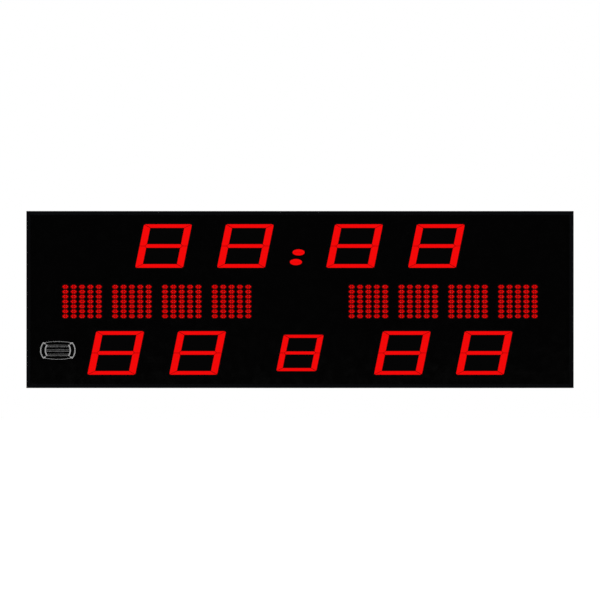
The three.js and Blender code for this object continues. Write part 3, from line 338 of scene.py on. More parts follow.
# Digit lenses: seven bars of red diffusing acrylic on one plate, lit from behind by the diodes on the board.
# Each bar's face glows evenly, a shade stronger over the diodes. The plate behind it stays nearly dark.
red_bars, tree, skin, where = start_material("red_diffusing_acrylic", {
    "Base Color": linear("8a0000"), "Roughness": 0.4, "IOR": 1.49, "Specular IOR Level": 0.05,
    "Emission Color": (1, 0, 0, 1), "Emission Strength": 1})
spots = add_node(tree, "TexVoronoi", {
    "Vector": where, "Scale": 1000 / 14, "Randomness": 0.15}).outputs["Distance"]
glow = add_node(tree, "MapRange", {"Value": spots, "From Max": 0.7, "To Min": 0.72, "To Max": 0.6})
depth = add_node(tree, "SeparateXYZ", {0: where}).outputs["Y"]
fade_start, fade_depth = -0.115, 0.0015
face_only = add_node(tree, "MapRange", {
    "Value": depth, "From Min": fade_start, "From Max": fade_start + fade_depth, "To Min": 1, "To Max": 0.04})
lit = add_node(tree, "Math", {0: glow.outputs[0], 1: face_only.outputs[0]}, operation="MULTIPLY")
feed(skin, {"Emission Strength": lit})
for digit in digits:
    finish_node(digit + "_lens", 0.5, "_bars", "front", red_bars)


# Colon: two oval domes of the same red acrylic on one plate behind the panel, between minutes and seconds.
# They are moulded in one piece, and the domes stand level with the panel's face.
def add_block(form, x, y, z, radius=0.0, steps=2, material=0):
    """A block between three pairs of coordinates, with its edges rounded."""
    size = [b - a for a, b in (x, y, z)]
    middle = [(a + b) / 2 for a, b in (x, y, z)]
    block = Matrix.Translation(middle) @ Matrix.Diagonal((*size, 1))
    corners = bmesh.ops.create_cube(form, size=1, matrix=block)["verts"]
    for face in {f for v in corners for f in v.link_faces}:
        face.material_index = material
    if radius:
        round_off(form, {e for v in corners for e in v.link_edges}, radius, steps)


def added(made, kind):
    """The parts of one kind among those that an operator added."""
    return [part for part in made["geom"] if isinstance(part, kind)]


def facing(x, y, z):
    """A place whose flat shapes face the viewer."""
    return Matrix.Translation((x, y, z)) @ Matrix.Rotation(math.radians(90), 4, "X")


low, high = box_of("colon_lens")
centre = (low + high) / 2
plate, dot_step, dot_half, dot_sides = 2, (6.1, 22.3), (28.1, 14.25), 48
crown, crown_height = ((1.6, 0.7), (3, 0.4), (5, 0.1)), 1.2
form = bmesh.new()
add_block(form, (low.x, high.x), (high.y - plate, high.y), (low.z, high.z), 0.5)
for side in (-1, 1):
    spot = (centre.x + side * dot_step[0], high.y - plate / 2, centre.z + side * dot_step[1])
    rim = bmesh.ops.create_circle(form, cap_ends=True, segments=dot_sides, radius=1,
                                  matrix=facing(*spot) @ Matrix.Diagonal((*dot_half, 1, 1)))["verts"]
    face = next(f for f in rim[0].link_faces if len(f.verts) == dot_sides)
    top = bmesh.ops.extrude_face_region(form, geom=[face])
    bmesh.ops.translate(form, vec=(0, low.y + crown_height - spot[1], 0), verts=added(top, BMVert))
    cap = added(top, BMFace)[0]
    for inset, rise in crown:
        bmesh.ops.inset_region(form, faces=[cap], thickness=inset, use_even_offset=True)
        bmesh.ops.translate(form, vec=(0, -rise, 0), verts=cap.verts)
bmesh.ops.recalc_face_normals(form, faces=form.faces)
finish_piece(form, "colon_domes", "front", red_bars, ["colon_lens"])


# Letter masks: black ABS plates with 5 by 7 oval windows, one for each letter of the two names.
# The windows are moulded with a small chamfer in front, and the flange sits behind the panel.
columns, rows, window_sides, lip = 5, 7, 24, 0.6
pixel_half, pitch = (15, 9.7), (38.5, 22.6)
mask_depth, flange_front, mask_margin, flange_width = 5.7, 3.3, 8, 6
grid_half = (columns * pitch[0] / 2, rows * pitch[1] / 2)
mask_half = ((columns - 1) * pitch[0] / 2 + pixel_half[0] + mask_margin,
             (rows - 1) * pitch[1] / 2 + pixel_half[1] + mask_margin)


def pixel_places():
    """The middles of a letter's 35 windows, along X and Z."""
    return [((column - (columns - 1) / 2) * pitch[0], (row - (rows - 1) / 2) * pitch[1])
            for column in range(columns) for row in range(rows)]


form = bmesh.new()
oval = Matrix.Diagonal((*pixel_half, 1, 1))
ring = bmesh.ops.create_circle(form, segments=window_sides, radius=1, matrix=facing(0, 0, 0) @ oval)["verts"]
edges = list({e for v in ring for e in v.link_edges})
for v in added(bmesh.ops.extrude_edge_only(form, edges=edges), BMVert):
    turn = Vector((v.co.x / pixel_half[0], v.co.z / pixel_half[1]))
    turn /= max(abs(turn.x), abs(turn.y))
    v.co = (turn.x * pitch[0] / 2, 0, turn.y * pitch[1] / 2)
cell = bpy.data.meshes.new("letter_window")
form.to_mesh(cell)
form.free()

form = bmesh.new()
for x, z in pixel_places():
    stamp(form, cell, Matrix.Translation((x, 0, z)))
bmesh.ops.remove_doubles(form, verts=form.verts, dist=0.01)


def at_grid_edge(v):
    """Whether a vertex is on the outside of the grid of windows."""
    return abs(abs(v.co.x) - grid_half[0]) < 0.01 or abs(abs(v.co.z) - grid_half[1]) < 0.01


border = [e for e in form.edges if e.is_boundary and all(at_grid_edge(v) for v in e.verts)]
for v in added(bmesh.ops.extrude_edge_only(form, edges=border), BMVert):
    for axis, half, limit in ((0, grid_half[0], mask_half[0]), (2, grid_half[1], mask_half[1])):
        if abs(abs(v.co[axis]) - half) < 0.01:
            v.co[axis] = math.copysign(limit, v.co[axis])
back = bmesh.ops.extrude_face_region(form, geom=form.faces[:])
bmesh.ops.translate(form, vec=(0, mask_depth, 0), verts=added(back, BMVert))
bmesh.ops.recalc_face_normals(form, faces=form.faces)
lips = [e for e in form.edges if all(abs(v.co.y) < 0.01 for v in e.verts)
        and e.is_manifold and e.calc_face_angle() > math.radians(60)]
round_off(form, lips, lip, 1)
reach = (mask_half[0] + flange_width, mask_half[1] + flange_width)
for side in (-1, 1):
    upright = sorted((side * mask_half[0], side * reach[0]))
    level = sorted((side * mask_half[1], side * reach[1]))
    add_block(form, upright, (flange_front, mask_depth), (-reach[1], reach[1]), 0.3, 1)
    add_block(form, (-mask_half[0], mask_half[0]), (flange_front, mask_depth), level, 0.3, 1)
mask = bpy.data.meshes.new("letter_mask")
form.to_mesh(mask)
form.free()

letters = [team + "_letter_" + str(i) for team in ("home", "guest") for i in (1, 2, 3, 4)]
for letter in letters:
    low, high = box_of(letter)
    form = bmesh.new()
    stamp(form, mask, Matrix.Translation(((low.x + high.x) / 2, low.y, (low.z + high.z) / 2)))
    finish_piece(form, letter + "_mask", "front", abs_black, [letter])


# Letter diodes: six 6 mm bullet diodes stand in an oval ring behind each window, soldered through the board.
# Their red epoxy glows brightest at the tip. The red plate between them has a faint painted glow in soft
# patches, which stands in for the diodes' light falling on it.
diode_epoxy, tree, skin, where = start_material("red_diode_epoxy", {
    "Base Color": linear("900000"), "Roughness": 0.2, "IOR": 1.5, "Specular IOR Level": 0.08,
    "Emission Color": (1, 0, 0, 1), "Emission Strength": 1})
depth = add_node(tree, "SeparateXYZ", {0: where}).outputs["Y"]
plate_y, diode_height = box_of("home_name_lens")[0].y, 3.6
tip_glow = add_node(tree, "MapRange", {
    "Value": depth, "From Min": (plate_y - diode_height) / 1000, "From Max": plate_y / 1000,
    "To Min": 0.72, "To Max": 0.22})
feed(skin, {"Emission Strength": tip_glow})
bullet = turned([(3, 0.2), (3, 1.6), (2.6, 2.7), (1.5, 3.4), (0, diode_height)], 8)
diode_ring = [(9.4, 0), (4.7, 5.3), (-4.7, 5.3), (-9.4, 0), (-4.7, -5.3), (4.7, -5.3)]
for letter in letters:
    low, high = box_of(letter)
    middle = (low + high) / 2
    form = bmesh.new()
    for x, z in pixel_places():
        for u, v in diode_ring:
            stamp(form, bullet, facing(middle.x + x + u, plate_y, middle.z + z + v))
    finish_piece(form, letter + "_diodes", "front", diode_epoxy)

# The plate's faint emission is painted light: a patchy glow that stands in for the light it catches from the
# diodes.
painted_glow_plate, tree, skin, where = start_material("red_plate_painted_glow", {
    "Base Color": linear("780000"), "Roughness": 0.5, "Specular IOR Level": 0.05,
    "Emission Color": (1, 0, 0, 1), "Emission Strength": 0.2})
painted_glow_patches = add_node(tree, "TexNoise", {"Vector": where, "Scale": 1000 / 6, "Detail": 1}).outputs["Fac"]
glow = add_node(tree, "MapRange", {
    "Value": painted_glow_patches, "From Min": 0.3, "From Max": 0.7, "To Min": 0.07, "To Max": 0.18})
feed(skin, {"Emission Strength": glow})
dress(["home_name_lens", "guest_name_lens"], painted_glow_plate)


# Circuit boards: glass-epoxy sheet under green solder mask, with copper tracks showing a shade lighter.
# One lies behind each row of digits and each name, screwed on through the housings' flanges. The fifth is
# the controller, in the tray.
board_mask, tree, skin, where = start_material("green_solder_mask", {
    "Base Color": linear("0f4a2a"), "Roughness": 0.32, "IOR": 1.5})
upright = add_node(tree, "Mapping", {"Vector": where, "Rotation": (math.radians(90), 0, 0)}).outputs[0]
tracks = add_node(tree, "TexBrick", {
    "Vector": upright, "Scale": 1000 / 40, "Color1": linear("0f4a2a"), "Color2": linear("11522f"),
    "Mortar": linear("1d6b3f"), "Mortar Size": 0.012, "Brick Width": 0.9, "Row Height": 0.1})
relief = add_node(tree, "Bump", {"Height": tracks.outputs["Fac"], "Strength": 0.4, "Distance": 0.0001})
feed(skin, {"Base Color": tracks, "Normal": relief})
dress(["timer_board", "score_board", "home_name_board", "guest_name_board", "controller_board"], board_mask)


# Parts on the boards' backs: solder joints in the pattern of each digit or letter, driver chips, resistor
# packs and box headers. The joints are bright tin, the chips black epoxy with tinned legs.
tin = grained_material("bright_solder", {
    "Base Color": linear("c9cacb"), "Metallic": 1, "Roughness": 0.3}, 3, 3, gloss=(0.2, 0.45))
chip_epoxy = grained_material("black_chip_epoxy", {
    "Base Color": linear("161616"), "Roughness": 0.55, "IOR": 1.55}, 0.5, 2, relief=(0.3, 0.0001))
header_plastic = grained_material("grey_glass_filled_nylon", {
    "Base Color": linear("3c3f43"), "Roughness": 0.5, "IOR": 1.53}, 4, 2, gloss=(0.4, 0.6))
board_parts = [chip_epoxy, tin, header_plastic]


def small_mesh(*blocks):
    """A small mesh of blocks, each with its rounding and material."""
    part = bmesh.new()
    for x, y, z, radius, material in blocks:
        add_block(part, x, y, z, radius, 1, material)
    mesh = bpy.data.meshes.new("small_part")
    part.to_mesh(mesh)
    part.free()
    return mesh


joint = turned([(1.3, 0), (0.9, 0.5), (0.4, 1.2), (0, 1.3)], 6, 1)
pin_pitch = 2.54
legs = [((side * 4.2 - 0.7, side * 4.2 + 0.7), (y - 0.25, y + 0.25), (0, 2), 0, 1)
        for side in (-1, 1) for y in [pin_pitch * i - 8.9 for i in range(8)]]
driver_chip = small_mesh(((-3.7, 3.7), (-10, 10), (0.6, 4), 0.3, 0), *legs)
resistor_pack = small_mesh(((-1.25, 1.25), (-11.5, 11.5), (0.5, 6), 0.4, 0))
pins = [((x - 0.3, x + 0.3), (y - 0.3, y + 0.3), (1, 7), 0, 1)
        for x in (-pin_pitch / 2, pin_pitch / 2) for y in [pin_pitch * i - 5.1 for i in range(5)]]
walls = [((-4.4, -3.4), (-10, 10)), ((3.4, 4.4), (-10, 10)), ((-3.4, 3.4), (-10, -9)), ((-3.4, 3.4), (9, 10))]
box_header = small_mesh(((-4.4, 4.4), (-10, 10), (0, 1.5), 0, 2),
                        *[(x, y, (1.5, 9), 0.2, 2) for x, y in walls], *pins)
lean, main_half_height, lens_edge, mitre = 0.2053, 92, (17, 9), 22
level_shares = [(i - 4) / 4 for i in range(9)]
upright_shares = [0.12 + 0.76 * i / 6 for i in range(7)]
for board, row in (("timer_board", digits[:4]), ("score_board", digits[4:])):
    back_y = box_of(board)[1].y
    form = bmesh.new()
    for digit in row:
        low, high = box_of(digit + "_lens")
        middle = (low + high) / 2
        half_height = (high.z - low.z) / 2 - lens_edge[1]
        half_width = (high.x - low.x) / 2 - lean * half_height - lens_edge[0]
        diodes = [(share * (half_width - mitre), level * (half_height - 4))
                  for level in (-1, 0, 1) for share in level_shares]
        diodes += [(side * half_width + across, up * half_height * share)
                   for side in (-1, 1) for up in (-1, 1) for share in upright_shares for across in (-8, 8)]
        for x, z in diodes:
            for pin_x in (-pin_pitch / 2, pin_pitch / 2):
                spot = (middle.x + x + lean * z + pin_x, back_y, middle.z + z)
                stamp(form, joint, standing(spot, (0, 1, 0)))
        for x, z, part in ((-24, 42, driver_chip), (24, 42, driver_chip), (0, 42, resistor_pack),
                           (-22, -40, resistor_pack), (-30, -40, resistor_pack), (24, -40, box_header)):
            z *= half_height / main_half_height
            stamp(form, part, standing((middle.x + x, back_y, middle.z + z), (0, 1, 0)))
    finish_piece(form, board + "_parts", "front", board_parts)
for team in ("home", "guest"):
    back_y = box_of(team + "_name_board")[1].y
    form = bmesh.new()
    for letter in letters:
        if letter.startswith(team):
            low, high = box_of(letter)
            middle = (low + high) / 2
            for x, z in pixel_places():
                for u, v in diode_ring:
                    stamp(form, joint, standing((middle.x + x + u, back_y, middle.z + z + v), (0, 1, 0)))
            for x in (-1.5 * pitch[0], 1.5 * pitch[0]):
                stamp(form, driver_chip, standing((middle.x + x, back_y, middle.z), (0, 1, 0)))
    finish_piece(form, team + "_name_board_parts", "front", board_parts)


# Horn grille: oval steel rod bent to a bulged rim and two arcs, with four corner ribs and three slats.
# It is painted mid grey. Each slat is a black strip between two thin grey rods.
grey_paint = grained_material("grey_powder_coat", {
    "Base Color": linear("8f8f8f"), "Roughness": 0.5}, 1.4, 2, relief=(0.25, 0.0002))
slat_paint = grained_material("dark_grey_powder_coat", {
    "Base Color": linear("1c1c1c"), "Roughness": 0.6, "Specular IOR Level": 0.25},
    1.4, 2, relief=(0.25, 0.0002))

low, high = box_of("horn_grille")
grille = (low + high) / 2
rim_corner, rim_bulge = (66.5, 34.5), (79, 40.9)
arc_end, arc_bulge, stub_end = (50, 24.5), 57.2, (59, 31.5)
rod_depth = (high.y - low.y) / 2


def add_bent_rod(form, chord_half, rise, distance, width, turn):
    """An oval rod bent to an arc that bulges away from the grille's middle, turned about it."""
    radius = (chord_half**2 + rise**2) / (2 * rise)
    half_angle = math.asin(chord_half / radius)
    section = Matrix.Translation((0, 0, radius)) @ Matrix.Rotation(math.radians(90), 4, "Y")
    rod = bmesh.new()
    bmesh.ops.create_circle(rod, cap_ends=True, segments=14, radius=1,
                            matrix=section @ Matrix.Diagonal((width / 2, rod_depth, 1, 1)))
    bmesh.ops.rotate(rod, cent=(0, 0, 0), matrix=Matrix.Rotation(-half_angle, 3, "Y"), verts=rod.verts)
    bmesh.ops.spin(rod, geom=rod.verts[:] + rod.edges[:] + rod.faces[:], cent=(0, 0, 0), axis=(0, 1, 0),
                   angle=2 * half_angle, steps=24)
    bmesh.ops.translate(rod, vec=(0, 0, distance + rise - radius), verts=rod.verts)
    bmesh.ops.recalc_face_normals(rod, faces=rod.faces)
    pattern = bpy.data.meshes.new("bent_rod")
    rod.to_mesh(pattern)
    rod.free()
    stamp(form, pattern, Matrix.Translation(grille) @ Matrix.Rotation(turn, 4, "Y"))


def add_straight_rod(form, start, end, width, depth):
    """A straight oval rod between two points of the grille, given from its middle."""
    start, end = (Vector((x, 0, z)) for x, z in (start, end))
    place = Matrix.Translation(grille + start) @ (end - start).to_track_quat("Z", "Y").to_matrix().to_4x4()
    bmesh.ops.create_cone(form, cap_ends=True, segments=12, radius1=1, radius2=1, depth=(end - start).length,
                          matrix=place @ Matrix.Translation((0, 0, (end - start).length / 2))
                          @ Matrix.Diagonal((depth, width / 2, 1, 1)))


form = bmesh.new()
long_rod, end_rod, arc_rod, rib, link, quarter = 1.8, 5.2, 6.2, 6.4, 1.6, math.pi / 2
for turn in (0, math.pi):
    add_bent_rod(form, rim_corner[0], rim_bulge[1] - rim_corner[1], rim_corner[1], long_rod, turn)
    add_bent_rod(form, rim_corner[1], rim_bulge[0] - rim_corner[0], rim_corner[0], end_rod, turn + quarter)
    add_bent_rod(form, arc_end[1], arc_bulge - arc_end[0], arc_end[0], arc_rod, turn + quarter)
corner_boss = turned([(3.2, -1.2), (3.2, 0.4), (2.3, 1), (0, 1.25)], 20)
for side in (-1, 1):
    for up in (-1, 1):
        corner = (side * rim_corner[0], up * rim_corner[1])
        arc = (side * (arc_end[0] + 0.5), up * (arc_end[1] - 2))
        stub = (side * stub_end[0], up * stub_end[1])
        add_straight_rod(form, stub, corner, rib, rod_depth)
        add_straight_rod(form, arc, stub, link, rod_depth / 2)
        for spot in (corner, stub, arc):
            stamp(form, corner_boss, facing(grille.x + spot[0], grille.y, grille.z + spot[1]))
slat_pitch, slat_rise, edge_rise, edge_depth = 20.6, 4.5, 4.1, 0.8
for z in (-slat_pitch, 0, slat_pitch):
    slat_half = arc_end[0] + (arc_bulge - arc_end[0]) * (1 - (z / arc_end[1]) ** 2) - 1
    add_block(form, (grille.x - slat_half, grille.x + slat_half), (grille.y - 0.1, grille.y + 0.9),
              (grille.z + z - slat_rise, grille.z + z + slat_rise), 0, 1, 1)
    for edge, width in ((-edge_rise, 1.05), (edge_rise, 0.65)):
        add_straight_rod(form, (-slat_half, z + edge), (slat_half, z + edge), width, edge_depth)
finish_piece(form, "horn_grille_rods", "front", [grey_paint, slat_paint], ["horn_grille"])


# Horn flare and driver: a tapered ABS mouth behind the grille, and a magnet motor screwed to its throat.
# The motor is turned: a zinc-plated front plate, a ferrite ring, a back plate and a domed cover.
finish_node("horn_flare", 0.4, "_moulding", "front", abs_black)
black_zinc = grained_material("black_zinc_plate", {
    "Base Color": linear("2a2a2c"), "Metallic": 1, "Roughness": 0.4}, 12, 4, gloss=(0.3, 0.5))
ferrite = grained_material("pressed_ferrite", {
    "Base Color": linear("1d1c1c"), "Roughness": 0.7}, 1.5, 4, relief=(0.5, 0.0003))
low, high = box_of("horn_driver")
motor = standing(((low.x + high.x) / 2, low.y, (low.z + high.z) / 2), (0, 1, 0))
form = bmesh.new()
for outline, material in [
    ([(0, 0), (29.4, 0), (30, 0.6), (30, 3.4), (29.4, 4), (0, 4)], 0),
    ([(0, 4), (35, 4), (36, 5), (36, 18), (35, 19), (0, 19)], 1),
    ([(0, 19), (31.4, 19), (32, 19.6), (32, 22.4), (31.4, 23), (0, 23)], 0),
    ([(0, 23), (22, 23), (22, 27), (20.5, 29.2), (17, 30), (0, 30)], 0),
]:
    stamp(form, turned(outline, 48, material), motor)
cap_screw = turned([(0, 0), (3, 0), (3, 2), (2.5, 2.6), (1.3, 2.6), (1.3, 1.2), (0, 1.2)], 16)
screw_circle, back_plate = 27, 23
for i in range(4):
    spot = Matrix.Rotation(math.radians(45 + 90 * i), 4, "Z") @ Vector((screw_circle, 0, back_plate))
    stamp(form, cap_screw, motor @ Matrix.Translation(spot))
finish_piece(form, "horn_motor", "front", [black_zinc, ferrite], ["horn_driver"])


# Rear tray: 1.5 mm steel sheet, folded, welded at the corners and powder coated in fine black texture.
# Its mouth has a return flange, its top and bottom walls have vents, and three swages stiffen its back.
tray_coat, tree, skin, where = start_material("black_texture_powder_coat", {
    "Base Color": linear("1c1d1f"), "Roughness": 0.55})
grit = add_node(tree, "TexNoise", {"Vector": where, "Scale": 1000 / 1.1, "Detail": 2}).outputs["Fac"]
drift = add_node(tree, "TexNoise", {"Vector": where, "Scale": 5, "Detail": 4}).outputs["Fac"]
tone = add_node(tree, "ValToRGB", {"Fac": drift})
tone.color_ramp.elements[0].color, tone.color_ramp.elements[1].color = linear("191a1c"), linear("212225")
gloss = add_node(tree, "MapRange", {"Value": drift, "To Min": 0.45, "To Max": 0.65})
relief = add_node(tree, "Bump", {"Height": grit, "Strength": 0.5, "Distance": 0.0003})
feed(skin, {"Base Color": tone, "Roughness": gloss, "Normal": relief})
low, high = box_of("rear_tray")


def is_fold(edge):
    """Whether an edge runs along two of the outer sides of the tray's box."""
    a, b = ({(axis, side) for axis in range(3) for side, corner in ((0, low), (1, high))
             if abs(v.co[axis] - corner[axis]) < 0.02} for v in edge.verts)
    return len(a & b) > 1


form = softened("rear_tray", 2, 3, is_fold)
swage, swage_levels, swage_root, press_radius = (2100, 3, 30), (-188, -288, -388), 0.2, 2.4
for z in swage_levels:
    middle = Matrix.Translation((0, high.y - swage_root + swage[1] / 2, z))
    pressed = bmesh.ops.create_cube(form, size=1, matrix=middle @ Matrix.Diagonal((*swage, 1)))["verts"]
    edges = {e for v in pressed for e in v.link_edges}
    ends = [e for e in edges if abs(e.verts[0].co.y - e.verts[1].co.y) > 1]
    rounded = round_off(form, ends, swage[2] / 2 - 0.1, 8)["verts"]
    outline = {e for v in rounded for e in v.link_edges if all(p.co.y > high.y + 2 for p in e.verts)}
    for face in round_off(form, outline, press_radius, 3)["faces"]:
        face.smooth = True
finish_piece(form, "rear_tray_folding", "cabinet", tray_coat, ["rear_tray"])


# Wall channels: hat sections of galvanised steel riveted to the tray's back, slotted for the wall screws.
# The zinc has frozen in flat crystals, a centimetre across, each a slightly different grey.
galvanised, tree, skin, where = start_material("hot_dip_zinc", {
    "Base Color": linear("b4b6b8"), "Metallic": 1, "Roughness": 0.42})
spangle = add_node(tree, "TexVoronoi", {"Vector": where, "Scale": 1000 / 11}).outputs["Color"]
shade = add_node(tree, "SeparateColor", {0: spangle}).outputs[0]
gloss = add_node(tree, "MapRange", {"Value": shade, "To Min": 0.3, "To Max": 0.5})
zinc = add_node(tree, "ValToRGB", {"Fac": shade})
zinc.color_ramp.elements[0].color, zinc.color_ramp.elements[1].color = linear("9fa2a5"), linear("c3c5c7")
feed(skin, {"Roughness": gloss, "Base Color": zinc})
rivet = turned([(3.2, 0), (3.1, 0.5), (2.4, 1.1), (1.2, 1.5), (1.1, 1.1), (0, 1.1)], 16)
rivets, rivet_edge, flange_middle, flange = 11, 50, 9, 2
for name in ("upper_wall_channel", "lower_wall_channel"):
    finish_node(name, 0.6, "_section", "cabinet", galvanised)
    low, high = box_of(name)
    form = bmesh.new()
    for i in range(rivets):
        x = low.x + rivet_edge + (high.x - low.x - 2 * rivet_edge) * i / (rivets - 1)
        for z in (low.z + flange_middle, high.z - flange_middle):
            stamp(form, rivet, standing((x, low.y + flange, z), (0, 1, 0)))
    finish_piece(form, name + "_rivets", "cabinet", stainless)


# Power supply: a folded zinc-coated case with punched vents and a terminal block at its left end.
# It is screwed to the tray's back, and seven short leads run from the terminals into the trunking.
low, high = box_of("power_supply")
block_end, side_sheet, base_sheet, vent_margin, vent_cuts = low.x + 24, 1.5, 2, 11, 11
form = bmesh.new()
add_block(form, (block_end, high.x), (low.y, high.y), (low.z, high.z), 1)
vented = max((f for f in form.faces if f.normal.y < -0.99), key=lambda f: f.calc_area())
bmesh.ops.inset_region(form, faces=[vented], thickness=vent_margin, use_even_offset=True)
bmesh.ops.subdivide_edges(form, edges=vented.edges[:], cuts=vent_cuts, use_grid_fill=True)
punched = [f for f in form.faces if f.normal.y < -0.99 and len(f.verts) == 4 and f.calc_area() < 200]
bmesh.ops.inset_individual(form, faces=punched, thickness=1.9, depth=0, use_even_offset=True)
bmesh.ops.inset_individual(form, faces=punched, thickness=0.1, depth=-1.5, use_even_offset=True)
for face in punched:
    face.material_index = 1
add_block(form, (low.x, block_end), (high.y - base_sheet, high.y), (low.z, high.z), 0.4)
for z in (low.z, high.z - side_sheet):
    add_block(form, (low.x, block_end), (low.y + 22, high.y - base_sheet), (z, z + side_sheet), 0.3)
case_zinc, tree, skin, where = start_material("electroplated_zinc_sheet", {
    "Base Color": linear("a9abad"), "Metallic": 1, "Roughness": 0.4})
rolled = add_node(tree, "Mapping", {"Vector": where, "Scale": (60, 1500, 1500)}).outputs[0]
streaks = add_node(tree, "TexNoise", {"Vector": rolled, "Scale": 1, "Detail": 3}).outputs["Fac"]
gloss = add_node(tree, "MapRange", {"Value": streaks, "To Min": 0.32, "To Max": 0.5})
feed(skin, {"Roughness": gloss})
finish_piece(form, "power_supply_case", "cabinet", [case_zinc, chip_epoxy],
             ["power_supply"])

form = bmesh.new()
terminal_front, terminal_pitch, terminals = low.y + 24, 13.7, 7
add_block(form, (low.x + 3, block_end - 1), (terminal_front, high.y - 4), (low.z + 8, high.z - 8), 0.5, 1)
clamp_screw = turned([(0, 0), (3.4, 0), (3.4, 1.6), (3, 2), (0, 2)], 16, 1)
lead = turned([(0, 0), (1.4, 0), (1.4, 26), (0, 26)], 10, 2)
for i in range(terminals + 1):
    z = low.z + 9.5 + terminal_pitch * i
    add_block(form, (low.x + 2, block_end - 1), (terminal_front - 5, terminal_front), (z - 0.8, z + 0.8),
              0.2, 1)
    if i < terminals:
        z += terminal_pitch / 2
        stamp(form, clamp_screw, facing(low.x + 13, terminal_front, z))
        stamp(form, lead, standing((low.x + 9, terminal_front - 2, z), (-1, 0, 0)))
finish_piece(form, "power_supply_terminals", "cabinet", board_parts)


# Cable trunking: slotted grey PVC duct that carries the leads from the inlet and supply to the controller.
# It lies flat on the tray's back and is closed by a snap-on lid.
pvc = grained_material("grey_rigid_pvc", {
    "Base Color": linear("8c8f92"), "Roughness": 0.45, "IOR": 1.53}, 30, 3, gloss=(0.38, 0.55))
low, high = box_of("power_supply")
duct_back, duct_width, duct_depth, duct_sheet, finger_pitch = high.y - 0.1, 25, 26.5, 1.5, 12.5
lid_back = duct_back - duct_depth + duct_sheet


def add_trunking(form, x, z):
    """A duct with fingers along both sides and a lid, flat on the tray's back."""
    add_block(form, x, (duct_back - duct_sheet, duct_back), z, 0.3, 1)
    add_block(form, x, (duct_back - duct_depth, lid_back), z, 0.5, 1)
    level = x[1] - x[0] > z[1] - z[0]
    along, across = (x, z) if level else (z, x)
    for i in range(int((along[1] - along[0]) // finger_pitch)):
        finger = (along[0] + (i + 0.18) * finger_pitch, along[0] + (i + 0.82) * finger_pitch)
        for wall in ((across[0] + 0.8, across[0] + 2.2), (across[1] - 2.2, across[1] - 0.8)):
            pair = (finger, wall) if level else (wall, finger)
            add_block(form, pair[0], (lid_back, duct_back - duct_sheet), pair[1])


main_duct, left_end, right_end = (-352, -327), -1190, 1200
supply_duct, below_main, above_main = low.x - 44, main_duct[0] - 1, main_duct[1] + 1
form = bmesh.new()
add_trunking(form, (left_end, right_end), main_duct)
add_trunking(form, (150, 150 + duct_width), (above_main, 60))
add_trunking(form, (supply_duct, supply_duct + duct_width), (low.z + 2, below_main))
add_trunking(form, (right_end - duct_width, right_end), (-640, below_main))
finish_piece(form, "cable_trunking", "cabinet", pvc)


# Controller: the board on four standoffs, with a processor, drivers, a radio can, capacitors and headers.
# The parts stand on the side that faces the front, which a service engineer sees when it is open.
can_steel = grained_material("tinned_can", {
    "Base Color": linear("b9bab8"), "Metallic": 1, "Roughness": 0.35}, 6, 4, gloss=(0.25, 0.45))
sleeve = grained_material("blue_capacitor_sleeve", {
    "Base Color": linear("1c2f5e"), "Roughness": 0.35}, 4, 2, relief=(0.2, 0.0003))
low, high = box_of("controller_board")
middle = (low + high) / 2
form = bmesh.new()


def on_board(x, z, turn=0):
    """A place on the controller's front face, from its middle."""
    return facing(middle.x + x, low.y, middle.z + z) @ Matrix.Rotation(math.radians(turn), 4, "Z")


processor_legs = small_mesh(*[((14.2, 16.4), (y - 0.35, y + 0.35), (0, 0.5), 0, 1)
                              for y in [1.6 * i - 12 for i in range(16)]])
stamp(form, small_mesh(((-14, 14), (-14, 14), (0.4, 2.6), 0.4, 0)), on_board(-20, 10))
for turn in (0, 90, 180, 270):
    stamp(form, processor_legs, on_board(-20, 10, turn))
for x, z, turn in ((-80, 48, 90), (-80, 30, 90), (-80, 12, 90), (-80, -6, 90), (40, 45, 0), (58, 45, 0)):
    stamp(form, driver_chip, on_board(x, z, turn))
header_pitch, resistor_pitch = 34, 9
for i in range(6):
    stamp(form, box_header, on_board(header_pitch * i - 90, -66, 90))
stamp(form, small_mesh(((-20, 20), (-14, 14), (0, 3.5), 0.6, 3)), on_board(72, 2))
can = turned([(0, 0), (6, 0), (6, 0.8), (5.7, 1.3), (6, 1.8), (6, 15), (5.4, 16), (4.6, 16), (4.3, 15.7),
              (0, 15.7)], 24, 4)
for x in (20, 36, 52):
    stamp(form, can, on_board(x, -34))
stamp(form, small_mesh(((-8, 8), (-13, 13), (0, 15), 0.8, 0)), on_board(92, -38))
crystal = turned([(0, 0), (2.6, 0), (2.6, 3.2), (2.2, 3.6), (0, 3.6)], 16, 3)
stamp(form, crystal, on_board(8, 14))
chip_resistor = small_mesh(((-1, 1), (-1.6, 1.6), (0, 0.9), 0.1, 1))
for i in range(10):
    stamp(form, chip_resistor, on_board(resistor_pitch * i - 50, 62))
board_screw = turned([(0, 0), (3.2, 0), (3.2, 1.2), (2.4, 2.2), (0, 2.4)], 16, 1)
for x in (-112, 112):
    for z in (-72, 72):
        stamp(form, board_screw, on_board(x, z))
finish_piece(form, "controller_parts", "cabinet", [*board_parts, can_steel, sleeve])


